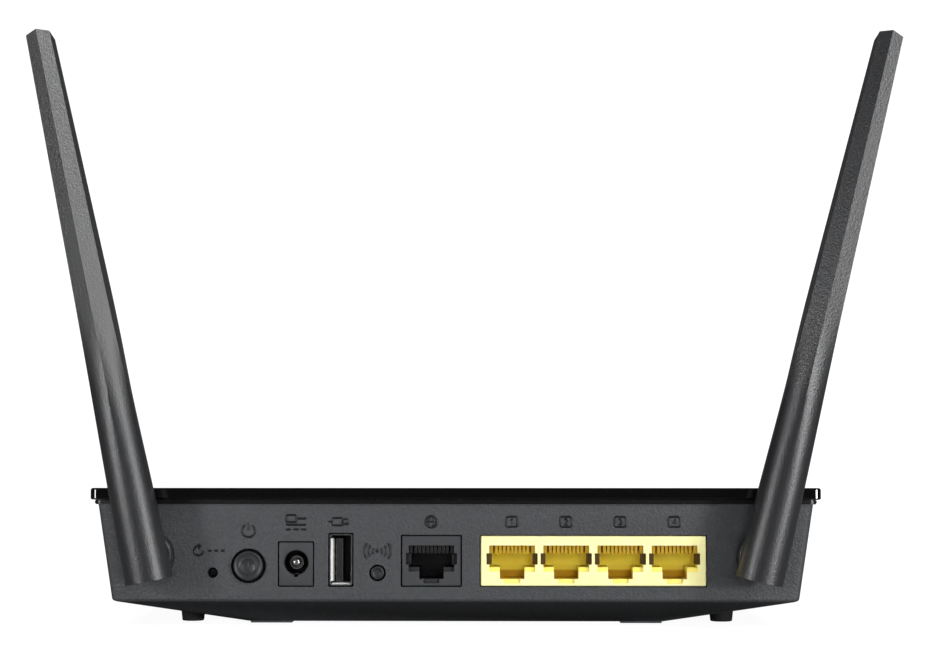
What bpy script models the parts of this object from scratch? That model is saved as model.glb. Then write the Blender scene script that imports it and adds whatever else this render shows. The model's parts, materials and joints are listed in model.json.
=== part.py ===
"""Wireless router with two hinged antennas, built from the separate pieces that it comes apart into.

Frame: metres, +Z up. The connector panel is the rear and faces -Y, the status lights are at the front, +Y.
The origin is on the table, under the middle of the case's flat underside.
"""

import math

import bmesh
import bpy
from mathutils import Matrix, Vector
from mathutils.bvhtree import BVHTree

for old in list(bpy.data.objects):
    bpy.data.objects.remove(old, do_unlink=True)

# ---------------------------------------------------------------- driving dimensions
GAP = 0.0003  # what two pieces that touch keep between them
WALL = 0.0020  # wall of the plastic case

# lid and case
LID_WIDTH = 0.1891
LID_DEPTH = 0.1255
LID_THICKNESS = 0.0030
LID_CORNER = 0.0020
LID_SLOPE = math.radians(1.8)  # the lid falls towards the front
HEIGHT = 0.0358  # top of the lid at its rear edge
SIDE_OVERHANG = 0.0019
END_OVERHANG = 0.0012
FRAME_THICKNESS = 0.0006
FRAME_OVERHANG = 0.0009  # how far the frame stands out past the case
FRAME_SIDE_BORDER = 0.0150
FRAME_END_BORDER = 0.0050
SKIRT_DEPTH = 0.0026  # the frame's lip, inside the case's walls
SKIRT_THICKNESS = 0.0012
LID_POCKET = 0.0012  # hollow under the lid, which holds the light guide's bar
LID_RIM = 0.0035
SIDE_DRAFT = math.radians(8.7)  # the walls lean in towards the bottom
PANEL_FOOT = 0.0067  # height of the rear panel's lower edge
FRONT_FOOT = 0.0145  # height of the front wall's lower edge
UNDERSIDE = 0.00045  # height of the flat underside over the table
FLAT_WIDTH = 0.1090
FLAT_REAR = 0.0150  # from the rear panel to the flat underside
FLAT_FRONT = 0.0480  # from the front wall to the flat underside
EDGE_ROUND = 0.0018

# feet
FOOT_RADIUS, FOOT_SPREAD = 0.0029, 0.0036
FOOT_INSET = 0.0220  # from the case's top edge to the foot's centre
FOOT_FROM_REAR = 0.0230
FOOT_FROM_FRONT = 0.0370
PAD_WIDTH = 0.0109
PAD_LENGTH = 0.0105
VENTS, VENT_PITCH, VENT_START = 5, 0.0050, 0.0150
VENT_WIDTH, VENT_LENGTH, VENT_ROW = 0.0018, 0.0160, 0.0140

# circuit board
BOARD_TOP = 0.01025
BOARD_THICKNESS = 0.0016
BOARD_FROM_REAR = 0.0042
BOARD_FROM_SIDE = 0.01765  # from the case's top edge to the board
BOARD_FROM_KEEL = 0.0100  # from the board's front edge to where the rising keel would meet it
PROCESSOR_HEIGHT = 0.0012
TRANSFORMER_FROM_REAR, TRANSFORMER_LENGTH = 0.02455, 0.0095
SHIELD_WIDTH, SHIELD_LENGTH = 0.0260, 0.0210
SINK_SIZE, SINK_HEIGHT, SINK_BASE, SINK_FINS, SINK_FIN = 0.0280, 0.0090, 0.0020, 8, 0.0012
COAX_PLUG_INSET, COAX_TO_SHIELD = 0.0110, 0.0087  # from the board's side edge and the shield can
CAPACITOR_XS, CAN_RADIUS, CAN_HEIGHT = (-0.0340, -0.0250), 0.0032, 0.0082

# connector panel, seen from behind, left to right
RESET_X, RESET_Z, RESET_RADIUS = -0.0626, 0.0139, 0.0014
POWER_X, POWER_Z, POWER_RADIUS = -0.0533, 0.0157, 0.0039
DC_X, DC_WIDTH, DC_HEIGHT = -0.0410, 0.0089, 0.0112
DC_BORE_Z, DC_BORE_RADIUS, DC_PIN_RADIUS = 0.0165, 0.0031, 0.0010
DC_DEPTH = 0.0140
USB_X, USB_WIDTH, USB_HEIGHT = -0.0294, 0.0060, 0.0134
USB_DEPTH, USB_SHEET, USB_TONGUE = 0.0140, 0.0004, 0.0018
WPS_X, WPS_Z, WPS_RADIUS = -0.0199, 0.0139, 0.0018
WAN_X, WAN_WIDTH = -0.0060, 0.0153
LAN_X, LAN_PORTS, PORT_PITCH = 0.0358, 4, 0.01397
NOTCH_DEPTH = 0.0080
CONTACT_PITCH, CONTACT_WIRE, CONTACT_ROW, CONTACT_DIP = 0.00102, 0.00040, 0.0092, 0.0017
JACK_HEIGHT, JACK_DEPTH, JACK_CAVITY = 0.0129, 0.0160, 0.0125
JACK_MARGIN = 0.0022  # plastic beside the last opening of a row
OPENING_WIDTH, OPENING_HEIGHT, OPENING_FLOOR = 0.0118, 0.0067, 0.0037
NOTCH_WIDTH, NOTCH_LOW, NOTCH_HIGH = 0.0132, 0.0018, 0.0047
LATCH_WIDTH, LATCH_DEPTH = 0.0063, 0.0019
KEY_WIDTH, KEY_DEPTH = 0.0041, 0.0011
FACE_RECESS = 0.0004  # the connectors' faces lie this far inside the panel's face
POWER_GAP, WPS_GAP = 0.00065, 0.0004  # round the caps
POWER_PROUD, POWER_TRAVEL = 0.0013, 0.0016
WPS_PROUD, WPS_TRAVEL = 0.0002, 0.0004
RESET_TRAVEL = 0.0003
RESET_DEPTH = 0.0030  # the reset plunger's tip, inside the panel's face
BUTTON_FLANGE, FLANGE_REACH = 0.0010, 0.0007  # behind the panel, past the hole
SWITCH_FROM_REAR, SWITCH_DEPTH = 0.0064, 0.0095
POWER_STEM, SMALL_STEM, STEM_BITE = 0.0016, 0.0009, 0.0020

# antennas
PIVOT_INSET = 0.01365  # from the case's top edge to the swivel's axis
PIVOT_Z = 0.0182
LEFT_LEAN, RIGHT_LEAN = math.radians(-11.8), math.radians(13.85)
DISC_RADIUS, DISC_THICKNESS = 0.0059, 0.0016
RECESS_RADIUS, RECESS_DEPTH = 0.0066, 0.0005
STEM_RADIUS, STEM_BORE = 0.0040, 0.0013
STEM_REACH = 0.0058  # how far the stem reaches inside the panel's face
CLIP_THICKNESS, CLIP_RADIUS, CLIP_GROOVE = 0.0009, 0.0060, 0.0008
PIVOT_STANDOFF = 0.0092  # from the panel's face to the fold axis
EAR_WIDTH, EAR_RADIUS = 0.0048, 0.0032
PIN_RADIUS, PIN_LENGTH = 0.0010, 0.0092
ANTENNA_FOOT, ANTENNA_TOP = 0.0061, 0.1387  # ends, from the fold axis
FOOT_HALF_WIDTH, TOP_HALF_WIDTH = 0.00615, 0.00356
BLEND_START, BLEND_END = 0.0150, 0.0700  # where the round foot turns into facets
BLEND_STEPS = 8
ANTENNA_OUTER_FOOT, ANTENNA_OUTER_TOP = -0.0050, -0.0036  # outer and panel faces, across the fold axis
ANTENNA_INNER_FOOT, ANTENNA_INNER_TOP = 0.0071, 0.0027
TIP_SLOPE = math.radians(27)
FOOT_CLEARANCE = 0.0018  # what the folding foot keeps from the panel
HOLLOW_START, HOLLOW_END = 0.0110, 0.1270
FEED_RADIUS = 0.0006
ELEMENT_WIDTH, ELEMENT_THICKNESS = 0.0030, 0.0008
ELEMENT_START, ELEMENT_END, ELEMENT_Y = 0.0200, 0.1220, 0.0002
COAX_RADIUS = 0.0006

# status lights
LIGHTS, LIGHT_PITCH, LIGHT_WIDTH, LIGHT_LENGTH = 7, 0.0085, 0.0014, 0.0030
LIGHTS_FROM_FRONT = 0.0085
GUIDE_THICKNESS = 0.0020

# fasteners
SCREW_RADIUS, SCREW_HEAD, SCREW_HEAD_HEIGHT = 0.0012, 0.0024, 0.0014
SCREW_WELL = 0.0040  # how deep the hole is that a case screw's head lies in
SCREW_WEB = 0.0025  # plastic between that head and the top of its boss
CASE_SCREW_LENGTH, BOARD_SCREW_LENGTH = 0.0110, 0.0042
BOSS_RADIUS, COLUMN_RADIUS = 0.0040, 0.0031
CASE_SCREW_INSET, CASE_SCREW_END = 0.0105, 0.0235
BOARD_SCREW_INSET, BOARD_SCREW_END = 0.0055, 0.0120

# ---------------------------------------------------------------- derived places
REAR = -(LID_DEPTH / 2 - END_OVERHANG)
FRONT = -REAR
TOP_HALF = LID_WIDTH / 2 - SIDE_OVERHANG
SLOPE = math.tan(LID_SLOPE)
SEAM_REAR = HEIGHT - LID_THICKNESS - 2 * GAP - FRAME_THICKNESS
SEAM_FRONT = SEAM_REAR - SLOPE * (FRONT - REAR)
BOARD_UNDER = BOARD_TOP - BOARD_THICKNESS
BOARD_REAR = REAR + BOARD_FROM_REAR
BOARD_HALF = TOP_HALF - BOARD_FROM_SIDE
keel_rise = (FRONT_FOOT - UNDERSIDE) / (FLAT_FRONT - (SEAM_FRONT - FRONT_FOOT) * math.tan(SIDE_DRAFT))
keel_inside = UNDERSIDE + WALL * math.hypot(1, keel_rise)
KEEL_MEETS_BOARD = FRONT - FLAT_FRONT + (BOARD_UNDER - GAP - keel_inside) / keel_rise
BOARD_FRONT = KEEL_MEETS_BOARD - BOARD_FROM_KEEL
FACE = REAR + FACE_RECESS
PIVOT_X = TOP_HALF - PIVOT_INSET
JACK_FLOOR = BOARD_TOP + GAP
LIGHTS_Y = BOARD_FRONT - 0.0030
TRANSFORMER_Y = REAR + TRANSFORMER_FROM_REAR
PROCESSOR_Y = (TRANSFORMER_Y + TRANSFORMER_LENGTH / 2 + LIGHTS_Y - GUIDE_THICKNESS / 2) / 2
COAX_PLUG_Y = PROCESSOR_Y - SHIELD_LENGTH / 2 - COAX_TO_SHIELD
LAN_WIDTH = (LAN_PORTS - 1) * PORT_PITCH + OPENING_WIDTH + 2 * JACK_MARGIN
ROUND = 24


def seam(y):
    """Height of the case's rim."""
    return SEAM_REAR - SLOPE * (y - REAR)


# ---------------------------------------------------------------- materials
def material(name, colour, roughness, metallic=0.0):
    made = bpy.data.materials.new(name)
    made.use_nodes = True
    shader = made.node_tree.nodes["Principled BSDF"]
    shader.inputs["Base Color"].default_value = (*colour, 1)
    shader.inputs["Roughness"].default_value = roughness
    shader.inputs["Metallic"].default_value = metallic
    return made


CASE_PLASTIC = material("case_plastic", (0.060, 0.062, 0.066), 0.62)
ANTENNA_PLASTIC = material("antenna_plastic", (0.075, 0.078, 0.083), 0.45)
GLOSS_BLACK = material("gloss_black", (0.004, 0.004, 0.005), 0.08)
FRAME_BLACK = material("frame_black", (0.010, 0.010, 0.011), 0.35)
LENS = material("light_lens", (0.75, 0.78, 0.80), 0.25)
RUBBER = material("foot_rubber", (0.012, 0.012, 0.012), 0.85)
BOARD_GREEN = material("board_green", (0.010, 0.085, 0.035), 0.40)
CHIP_BLACK = material("chip_black", (0.016, 0.016, 0.018), 0.50)
TINNED_STEEL = material("tinned_steel", (0.66, 0.66, 0.65), 0.30, 1.0)
ALUMINIUM = material("aluminium", (0.72, 0.73, 0.74), 0.35, 1.0)
GOLD = material("contact_gold", (0.83, 0.61, 0.26), 0.25, 1.0)
JACK_YELLOW = material("jack_yellow", (0.90, 0.70, 0.14), 0.45)
JACK_BLACK = material("jack_black", (0.022, 0.023, 0.025), 0.45)
COPPER = material("copper", (0.78, 0.42, 0.27), 0.35, 1.0)
COAX_SLEEVE = material("coax_sleeve", (0.020, 0.020, 0.022), 0.50)
SCREW_STEEL = material("screw_steel", (0.42, 0.42, 0.43), 0.38, 1.0)


# ---------------------------------------------------------------- modelling helpers
def add(name, mesh_builder, finish, parent=None, smooth=True):
    """Makes a bmesh into a named object."""
    bmesh.ops.recalc_face_normals(mesh_builder, faces=mesh_builder.faces)
    mesh = bpy.data.meshes.new(name)
    mesh_builder.to_mesh(mesh)
    mesh_builder.free()
    if smooth:
        mesh.shade_smooth()
        mesh.set_sharp_from_angle(angle=math.radians(32))
    mesh.materials.append(finish)
    made = bpy.data.objects.new(name, mesh)
    bpy.context.scene.collection.objects.link(made)
    if parent:
        made.parent = parent
    return made


def empty(name, place, turn=0.0, parent=None):
    """A turning axis: an empty at a place, turned about Y."""
    made = bpy.data.objects.new(name, None)
    made.location = place
    made.rotation_euler = (0, turn, 0)
    made.parent = parent
    bpy.context.scene.collection.objects.link(made)
    return made


def block(low, high, into=None):
    """A box between two corners."""
    made = into or bmesh.new()
    new = bmesh.ops.create_cube(made, size=1.0)["verts"]
    for v in new:
        v.co = Vector([low[k] + (v.co[k] + 0.5) * (high[k] - low[k]) for k in range(3)])
    return made


AXES = {
    "x": Matrix.Rotation(math.radians(90), 4, "Y"),
    "y": Matrix.Rotation(math.radians(-90), 4, "X"),
    "z": Matrix.Identity(4),
}


def rod(start, axis, length, radius, end_radius=None, sides=ROUND, into=None):
    """A cylinder or cone from a point, along an axis."""
    made = into or bmesh.new()
    placed = Matrix.Translation(start) @ AXES[axis] @ Matrix.Translation((0, 0, length / 2))
    bmesh.ops.create_cone(
        made,
        cap_ends=True,
        segments=sides,
        radius1=radius,
        radius2=radius if end_radius is None else end_radius,
        depth=length,
        matrix=placed,
    )
    return made


def prism(outline, start, end, axis="y", into=None):
    """An outline extruded along an axis: (x, z) points along y, (x, y) along z, (y, z) along x."""
    made = into or bmesh.new()
    place = {
        "y": lambda a, b, c: (a, c, b),
        "z": lambda a, b, c: (a, b, c),
        "x": lambda a, b, c: (c, a, b),
    }[axis]
    low = [made.verts.new(place(a, b, start)) for a, b in outline]
    high = [made.verts.new(place(a, b, end)) for a, b in outline]
    made.faces.new(low)
    made.faces.new(high)
    for i in range(len(outline)):
        j = (i + 1) % len(outline)
        made.faces.new((low[i], low[j], high[j], high[i]))
    return made


def turned(profile, place, axis="y", sides=ROUND):
    """A closed profile of (radius, along) points, turned about an axis by Blender's spin."""
    made = bmesh.new()
    verts = [made.verts.new((r, 0, a)) for r, a in profile]
    edges = [made.edges.new((verts[i], verts[(i + 1) % len(verts)])) for i in range(len(verts))]
    full_turn = {"cent": (0, 0, 0), "axis": (0, 0, 1), "angle": 2 * math.pi, "use_merge": True}
    bmesh.ops.spin(made, geom=verts + edges, steps=sides, **full_turn)
    bmesh.ops.remove_doubles(made, verts=made.verts, dist=1e-6)
    bmesh.ops.transform(made, matrix=Matrix.Translation(place) @ AXES[axis], verts=made.verts)
    return made


def arc(centre, radius, start, end, steps):
    """Points on an arc, angles in degrees."""
    return [
        (
            centre[0] + radius * math.cos(math.radians(start + (end - start) * i / steps)),
            centre[1] + radius * math.sin(math.radians(start + (end - start) * i / steps)),
        )
        for i in range(steps + 1)
    ]


def rounded(low, high, radius, steps=3):
    """A rectangle with round corners, as an outline."""
    (x0, y0), (x1, y1) = low, high
    left, right, bottom, top = x0 + radius, x1 - radius, y0 + radius, y1 - radius
    corners = [(right, top), (left, top), (left, bottom), (right, bottom)]
    return [p for i, c in enumerate(corners) for p in arc(c, radius, 90 * i, 90 * i + 90, steps)]


def boolean(target, mesh_builder, operation="DIFFERENCE", parent=None):
    """Cuts or joins a shape with a hidden helper."""
    name = f"{target.name}_helper_{len(target.modifiers)}"
    helper = add(name, mesh_builder, CASE_PLASTIC, parent, smooth=False)
    helper.hide_render = True
    helper.display_type = "WIRE"
    modifier = target.modifiers.new(operation.lower(), "BOOLEAN")
    modifier.operation = operation
    modifier.solver = "EXACT"
    modifier.object = helper


def bevel_edges(mesh_builder, width, segments, chosen):
    """Rounds the edges that a test picks."""
    bmesh.ops.recalc_face_normals(mesh_builder, faces=mesh_builder.faces)
    picked = [e for e in mesh_builder.edges if chosen(e)]
    bmesh.ops.bevel(mesh_builder, geom=picked, offset=width, segments=segments, profile=0.5, affect="EDGES")
    return mesh_builder


# ---------------------------------------------------------------- case
def case_hull(inset, rise=0.0):
    """The case's outer shape, moved inwards by inset and its rim raised by rise: a tub on a faceted keel."""
    draft = math.tan(SIDE_DRAFT)
    half, rear, front = TOP_HALF - inset, REAR + inset, FRONT - inset
    low, front_low, flat = PANEL_FOOT + inset, FRONT_FOOT + inset, UNDERSIDE + inset
    flat_rear, flat_front = REAR + FLAT_REAR, FRONT - FLAT_FRONT

    def wall_x(y, z):
        return half - (seam(y) - z) * draft

    def front_y(z):
        return front - (seam(front) - z) * draft

    rear_top, front_top = seam(rear) + rise, seam(front) + rise
    made = bmesh.new()
    for side in (-1, 1):
        for x, y, z in (
            (wall_x(rear, rear_top), rear, rear_top),
            (wall_x(front, front_top), front_y(front_top), front_top),
            (wall_x(rear, low), rear, low),
            (wall_x(flat_front, low), flat_front, low),
            (wall_x(front_y(front_low), front_low), front_y(front_low), front_low),
            (FLAT_WIDTH / 2, flat_rear, flat),
            (FLAT_WIDTH / 2, flat_front, flat),
        ):
            made.verts.new((side * x, y, z))
    bmesh.ops.convex_hull(made, input=made.verts)
    bmesh.ops.dissolve_limit(made, angle_limit=math.radians(1.0), verts=made.verts, edges=made.edges)
    return made


def wall_corner(edge):
    """An upright edge between two walls of the case."""
    a, b = (v.co for v in edge.verts)
    return abs(a.z - b.z) > 0.6 * (a - b).length


def wall_foot(edge):
    """An edge where a wall meets the keel."""
    a, b = (v.co for v in edge.verts)
    above_flat = min(a.z, b.z) > UNDERSIDE + WALL and max(a.z, b.z) < FRONT_FOOT + EDGE_ROUND
    return above_flat and not wall_corner(edge) and edge.calc_face_angle(0) > math.radians(25)


hull = case_hull(0.0)
KEEL = BVHTree.FromBMesh(hull)
hull.free()


def keel_height(x, y):
    """Height of the case's underside over a place."""
    return KEEL.ray_cast((x, y, -0.01), (0, 0, 1))[0].z


case_half = TOP_HALF - CASE_SCREW_INSET
screw_ys = (REAR + CASE_SCREW_END, FRONT - CASE_SCREW_END)
CASE_SCREWS = [(side * case_half, y) for y in screw_ys for side in (-1, 1)]
board_half = BOARD_HALF - BOARD_SCREW_INSET
BOARD_SCREWS = [(side * board_half, BOARD_FRONT - BOARD_SCREW_END) for side in (-1, 1)]
feet_half = TOP_HALF - FOOT_INSET
FEET = {
    "rear_left_foot": (-feet_half, REAR + FOOT_FROM_REAR),
    "rear_right_foot": (feet_half, REAR + FOOT_FROM_REAR),
    "front_left_foot": (-feet_half, FRONT - FOOT_FROM_FRONT),
    "front_right_foot": (feet_half, FRONT - FOOT_FROM_FRONT),
}
CONNECTORS = [(DC_X, DC_WIDTH, DC_HEIGHT), (USB_X, USB_WIDTH, USB_HEIGHT), (WAN_X, WAN_WIDTH, JACK_HEIGHT)]
CONNECTORS.append((LAN_X, LAN_WIDTH, JACK_HEIGHT))


def boss_top(x, y):
    return keel_height(x, y) + SCREW_WELL + SCREW_WEB


body = case_hull(0.0)
bevel_edges(body, EDGE_ROUND, 3, wall_corner)
bevel_edges(body, 0.0005, 2, wall_foot)
case = add("bottom_case", body, CASE_PLASTIC)
boolean(case, case_hull(WALL, rise=0.0100))

bosses = bmesh.new()
for x, y in CASE_SCREWS:
    foot = keel_height(x, y) + 0.0010
    rod((x, y, foot), "z", boss_top(x, y) - foot, BOSS_RADIUS, sides=16, into=bosses)
for x, y in BOARD_SCREWS:
    foot = keel_height(x, y) + 0.0010
    rod((x, y, foot), "z", BOARD_UNDER - GAP - foot, COLUMN_RADIUS, sides=16, into=bosses)
for side in (-1, 1):
    for y in (REAR + FLAT_REAR, FRONT - FLAT_FRONT - PAD_LENGTH):
        x0, x1 = sorted((side * (FLAT_WIDTH / 2 - 0.0002), side * (FLAT_WIDTH / 2 - 0.0002 - PAD_WIDTH)))
        block((x0, y, 0.0), (x1, y + PAD_LENGTH, UNDERSIDE + 0.0010), into=bosses)
boolean(case, bosses, "UNION")

panel_holes = bmesh.new()
for x, width, height in CONNECTORS:
    low = (x - width / 2 - GAP, JACK_FLOOR - GAP)
    high = (x + width / 2 + GAP, JACK_FLOOR + height + GAP)
    prism(rounded(low, high, 0.0003, 1), REAR - 0.002, REAR + WALL + 0.002, into=panel_holes)
for x, z, radius in (
    (POWER_X, POWER_Z, POWER_RADIUS + POWER_GAP),
    (WPS_X, WPS_Z, WPS_RADIUS + WPS_GAP),
    (RESET_X, RESET_Z, RESET_RADIUS),
    (-PIVOT_X, PIVOT_Z, STEM_RADIUS + GAP),
    (PIVOT_X, PIVOT_Z, STEM_RADIUS + GAP),
):
    rod((x, REAR - 0.002, z), "y", WALL + 0.004, radius, sides=ROUND, into=panel_holes)
boolean(case, panel_holes)

shallow = bmesh.new()
for side in (-1, 1):
    start = (side * PIVOT_X, REAR - 0.002, PIVOT_Z)
    rod(start, "y", 0.002 + RECESS_DEPTH, RECESS_RADIUS, sides=28, into=shallow)
for x, y in CASE_SCREWS:
    rod((x, y, -0.001), "z", keel_height(x, y) + SCREW_WELL + 0.001, SCREW_HEAD + GAP, sides=16, into=shallow)
for x, y in BOARD_SCREWS:
    floor = keel_height(x, y) + WALL
    rod((x, y, floor), "z", BOARD_UNDER - floor, SCREW_RADIUS + GAP, sides=16, into=shallow)
boolean(case, shallow)

slots = bmesh.new()
flat_middle = (REAR + FLAT_REAR + FRONT - FLAT_FRONT) / 2
for side in (-1, 1):
    for row in (-1, 1):
        for i in range(VENTS):
            x, y = side * (VENT_START + i * VENT_PITCH), flat_middle + row * VENT_ROW
            low = (x - VENT_WIDTH / 2, y - VENT_LENGTH / 2)
            high = (x + VENT_WIDTH / 2, y + VENT_LENGTH / 2)
            prism(rounded(low, high, VENT_WIDTH * 0.45, 1), -0.001, UNDERSIDE + WALL + 0.001, "z", into=slots)
for x, y in CASE_SCREWS:
    rod((x, y, 0.0), "z", boss_top(x, y) + 0.001, SCREW_RADIUS + GAP, sides=16, into=slots)
boolean(case, slots)

# ---------------------------------------------------------------- lid, its frame and the status lights
# The lid's own frame starts under its rear edge and falls towards +Y with it.
lid_axis = empty("lid_axis", (0, REAR, HEIGHT - LID_THICKNESS))
lid_axis.rotation_euler = (-LID_SLOPE, 0, 0)
depth = (FRONT - REAR) / math.cos(LID_SLOPE)
lights_y = depth - LIGHTS_FROM_FRONT
light_xs = [(i - (LIGHTS - 1) / 2) * LIGHT_PITCH for i in range(LIGHTS)]

low, high = (-LID_WIDTH / 2, -END_OVERHANG), (LID_WIDTH / 2, depth + END_OVERHANG)
plate = prism(rounded(low, high, LID_CORNER, 4), 0.0, LID_THICKNESS, "z")
bevel_edges(plate, 0.0005, 2, lambda e: min(v.co.z for v in e.verts) > LID_THICKNESS / 2)
bevel_edges(plate, 0.0003, 1, lambda e: max(v.co.z for v in e.verts) < 1e-6)
lid = add("top_lid", plate, GLOSS_BLACK, lid_axis)
pocket = rounded((low[0] + LID_RIM, low[1] + LID_RIM), (high[0] - LID_RIM, high[1] - LID_RIM), 0.0020, 2)
boolean(lid, prism(pocket, -0.001, LID_POCKET, "z"), parent=lid_axis)
lens_holes = bmesh.new()
for x in light_xs:
    a = (x - LIGHT_LENGTH / 2 - GAP / 2, lights_y - LIGHT_WIDTH / 2 - GAP / 2)
    b = (x + LIGHT_LENGTH / 2 + GAP / 2, lights_y + LIGHT_WIDTH / 2 + GAP / 2)
    prism(rounded(a, b, 0.0006, 1), 0.0005, LID_THICKNESS + 0.001, "z", into=lens_holes)
boolean(lid, lens_holes, parent=lid_axis)

half, end = TOP_HALF + FRAME_OVERHANG, END_OVERHANG / 2
plate = prism(rounded((-half, -end), (half, depth + end), LID_CORNER, 4), -GAP - FRAME_THICKNESS, -GAP, "z")
frame = add("top_frame", plate, FRAME_BLACK, lid_axis)
lip_half, lip_end = TOP_HALF - WALL - 3 * GAP, WALL + 3 * GAP
lip = rounded((-lip_half, lip_end), (lip_half, depth - lip_end), 0.0010, 2)
lip_top = -GAP - FRAME_THICKNESS / 2
boolean(frame, prism(lip, lip_top - SKIRT_DEPTH, lip_top, "z"), "UNION", lid_axis)
inside = rounded(
    (-lip_half + SKIRT_THICKNESS, lip_end + SKIRT_THICKNESS),
    (lip_half - SKIRT_THICKNESS, depth - lip_end - SKIRT_THICKNESS),
    0.0010, 2,
)
boolean(frame, prism(inside, -0.0200, -GAP - FRAME_THICKNESS, "z"), parent=lid_axis)
side, end = half - FRAME_SIDE_BORDER, FRAME_END_BORDER
window = rounded((-side, end), (side, depth - end), 0.0020, 2)
boolean(frame, prism(window, -0.0200, 0.0050, "z"), parent=lid_axis)
columns = bmesh.new()
bores = bmesh.new()
for x, y in CASE_SCREWS:
    foot, top = boss_top(x, y) + GAP, seam(y) + GAP + FRAME_THICKNESS / 2
    rod((x, y, foot), "z", top - foot, COLUMN_RADIUS, sides=16, into=columns)
    bite = keel_height(x, y) + SCREW_WELL + CASE_SCREW_LENGTH + 0.001 - foot
    rod((x, y, foot - 0.001), "z", bite + 0.001, SCREW_RADIUS + GAP, sides=16, into=bores)
boolean(frame, columns, "UNION")
boolean(frame, bores)

# One clear moulding: seven lenses through the lid, on a bar whose web leads down to the lights on the board.
bar_half = LIGHT_PITCH * LIGHTS / 2
bar_top = LID_POCKET - GAP
bar = block((-bar_half, lights_y - 0.0018, bar_top - 0.0010), (bar_half, lights_y + 0.0018, bar_top))
guide = add("light_guide", bar, LENS, lid_axis)
lenses = bmesh.new()
for x in light_xs:
    a = (x - LIGHT_LENGTH / 2, lights_y - LIGHT_WIDTH / 2)
    b = (x + LIGHT_LENGTH / 2, lights_y + LIGHT_WIDTH / 2)
    prism(rounded(a, b, 0.0005, 1), bar_top - 0.0005, LID_THICKNESS, "z", into=lenses)
boolean(guide, lenses, "UNION", lid_axis)
lights_world = REAR + lights_y
web_foot = BOARD_TOP + 0.0022
web = [
    (lights_world - 0.0012, seam(lights_world) + 0.0018),
    (lights_world - 0.0012, seam(lights_world) - 0.0030),
    (LIGHTS_Y - GUIDE_THICKNESS / 2, web_foot + 0.0030),
    (LIGHTS_Y - GUIDE_THICKNESS / 2, web_foot),
    (LIGHTS_Y + GUIDE_THICKNESS / 2, web_foot),
    (LIGHTS_Y + GUIDE_THICKNESS / 2, web_foot + 0.0022),
    (lights_world + 0.0010, seam(lights_world) - 0.0044),
    (lights_world + 0.0010, seam(lights_world) + 0.0018),
]
boolean(guide, prism(web, -bar_half + 0.001, bar_half - 0.001, "x"), "UNION")


# ---------------------------------------------------------------- screws and feet
def screw(name, x, y, seat, length, up):
    """A pan-head screw: the head bears on the seat and the shank runs up (1) or down (-1) from it."""
    profile = [
        (0, -SCREW_HEAD_HEIGHT),
        (SCREW_HEAD * 0.86, -SCREW_HEAD_HEIGHT),
        (SCREW_HEAD, -SCREW_HEAD_HEIGHT * 0.7),
        (SCREW_HEAD, 0),
        (SCREW_RADIUS, 0),
        (SCREW_RADIUS, length - SCREW_RADIUS * 1.5),
        (0, length),
    ]
    made = turned([(r, a * up) for r, a in profile], (x, y, seat), "z", sides=16)
    piece = add(name, made, SCREW_STEEL)
    arm, width = SCREW_HEAD * 0.62, SCREW_HEAD * 0.12
    cross = [(arm, -width), (arm, width), (width, width), (width, arm), (-width, arm), (-width, width)]
    cross += [(-a, -b) for a, b in cross]
    depth = SCREW_HEAD_HEIGHT * 0.55
    ends = sorted((seat - up * (SCREW_HEAD_HEIGHT + 0.0005), seat - up * (SCREW_HEAD_HEIGHT - depth)))
    boolean(piece, prism([(x + a, y + b) for a, b in cross], *ends, "z"))


for i, (x, y) in enumerate(CASE_SCREWS, 1):
    screw(f"case_screw_{i}", x, y, keel_height(x, y) + SCREW_WELL - GAP, CASE_SCREW_LENGTH, 1)
for i, (x, y) in enumerate(BOARD_SCREWS, 1):
    screw(f"board_screw_{i}", x, y, BOARD_TOP + GAP, BOARD_SCREW_LENGTH, -1)

for name, (x, y) in FEET.items():
    plug = rod((x, y, 0.0), "z", keel_height(x, y) + 0.003, FOOT_RADIUS, FOOT_SPREAD, 24)
    foot = add(name, plug, RUBBER)
    boolean(foot, case_hull(-GAP))

# ---------------------------------------------------------------- circuit board and what is soldered to it
low, high = (-BOARD_HALF, BOARD_REAR), (BOARD_HALF, BOARD_FRONT)
board = add("main_board", prism(rounded(low, high, 0.0020, 2), BOARD_UNDER, BOARD_TOP, "z"), BOARD_GREEN)
board_holes = bmesh.new()
for x, y in BOARD_SCREWS:
    start = (x, y, BOARD_UNDER - 0.001)
    rod(start, "z", BOARD_THICKNESS + 0.002, SCREW_RADIUS + GAP, sides=16, into=board_holes)
boolean(board, board_holes)

ON_BOARD = BOARD_TOP + GAP


def chip(name, x, y, width, length, height, finish=CHIP_BLACK, floor=ON_BOARD, edge=0.0003):
    """A flat package with its upper edges broken."""
    made = block((x - width / 2, y - length / 2, floor), (x + width / 2, y + length / 2, floor + height))
    bevel_edges(made, edge, 1, lambda e: max(v.co.z for v in e.verts) > floor + height / 2)
    return add(name, made, finish)


chip("processor_chip", 0.000, PROCESSOR_Y, 0.0170, 0.0170, PROCESSOR_HEIGHT)
chip("memory_chip", 0.0260, PROCESSOR_Y, 0.0125, 0.0090, 0.0010)
chip("flash_chip", -0.0250, PROCESSOR_Y, 0.0053, 0.0080, 0.0018)
chip("wan_transformer", WAN_X, TRANSFORMER_Y, 0.0130, TRANSFORMER_LENGTH, 0.0048)
chip("lan_transformer", LAN_X, TRANSFORMER_Y, 0.0320, TRANSFORMER_LENGTH, 0.0048)
chip("power_inductor", -0.0440, TRANSFORMER_Y, 0.0070, 0.0070, 0.0040, edge=0.0008)
chip("clock_crystal", 0.0150, PROCESSOR_Y - 0.0150, 0.0032, 0.0025, 0.0010, ALUMINIUM, edge=0.0002)
chip("left_shield_can", -0.0530, PROCESSOR_Y, SHIELD_WIDTH, SHIELD_LENGTH, 0.0026, TINNED_STEEL)
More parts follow.
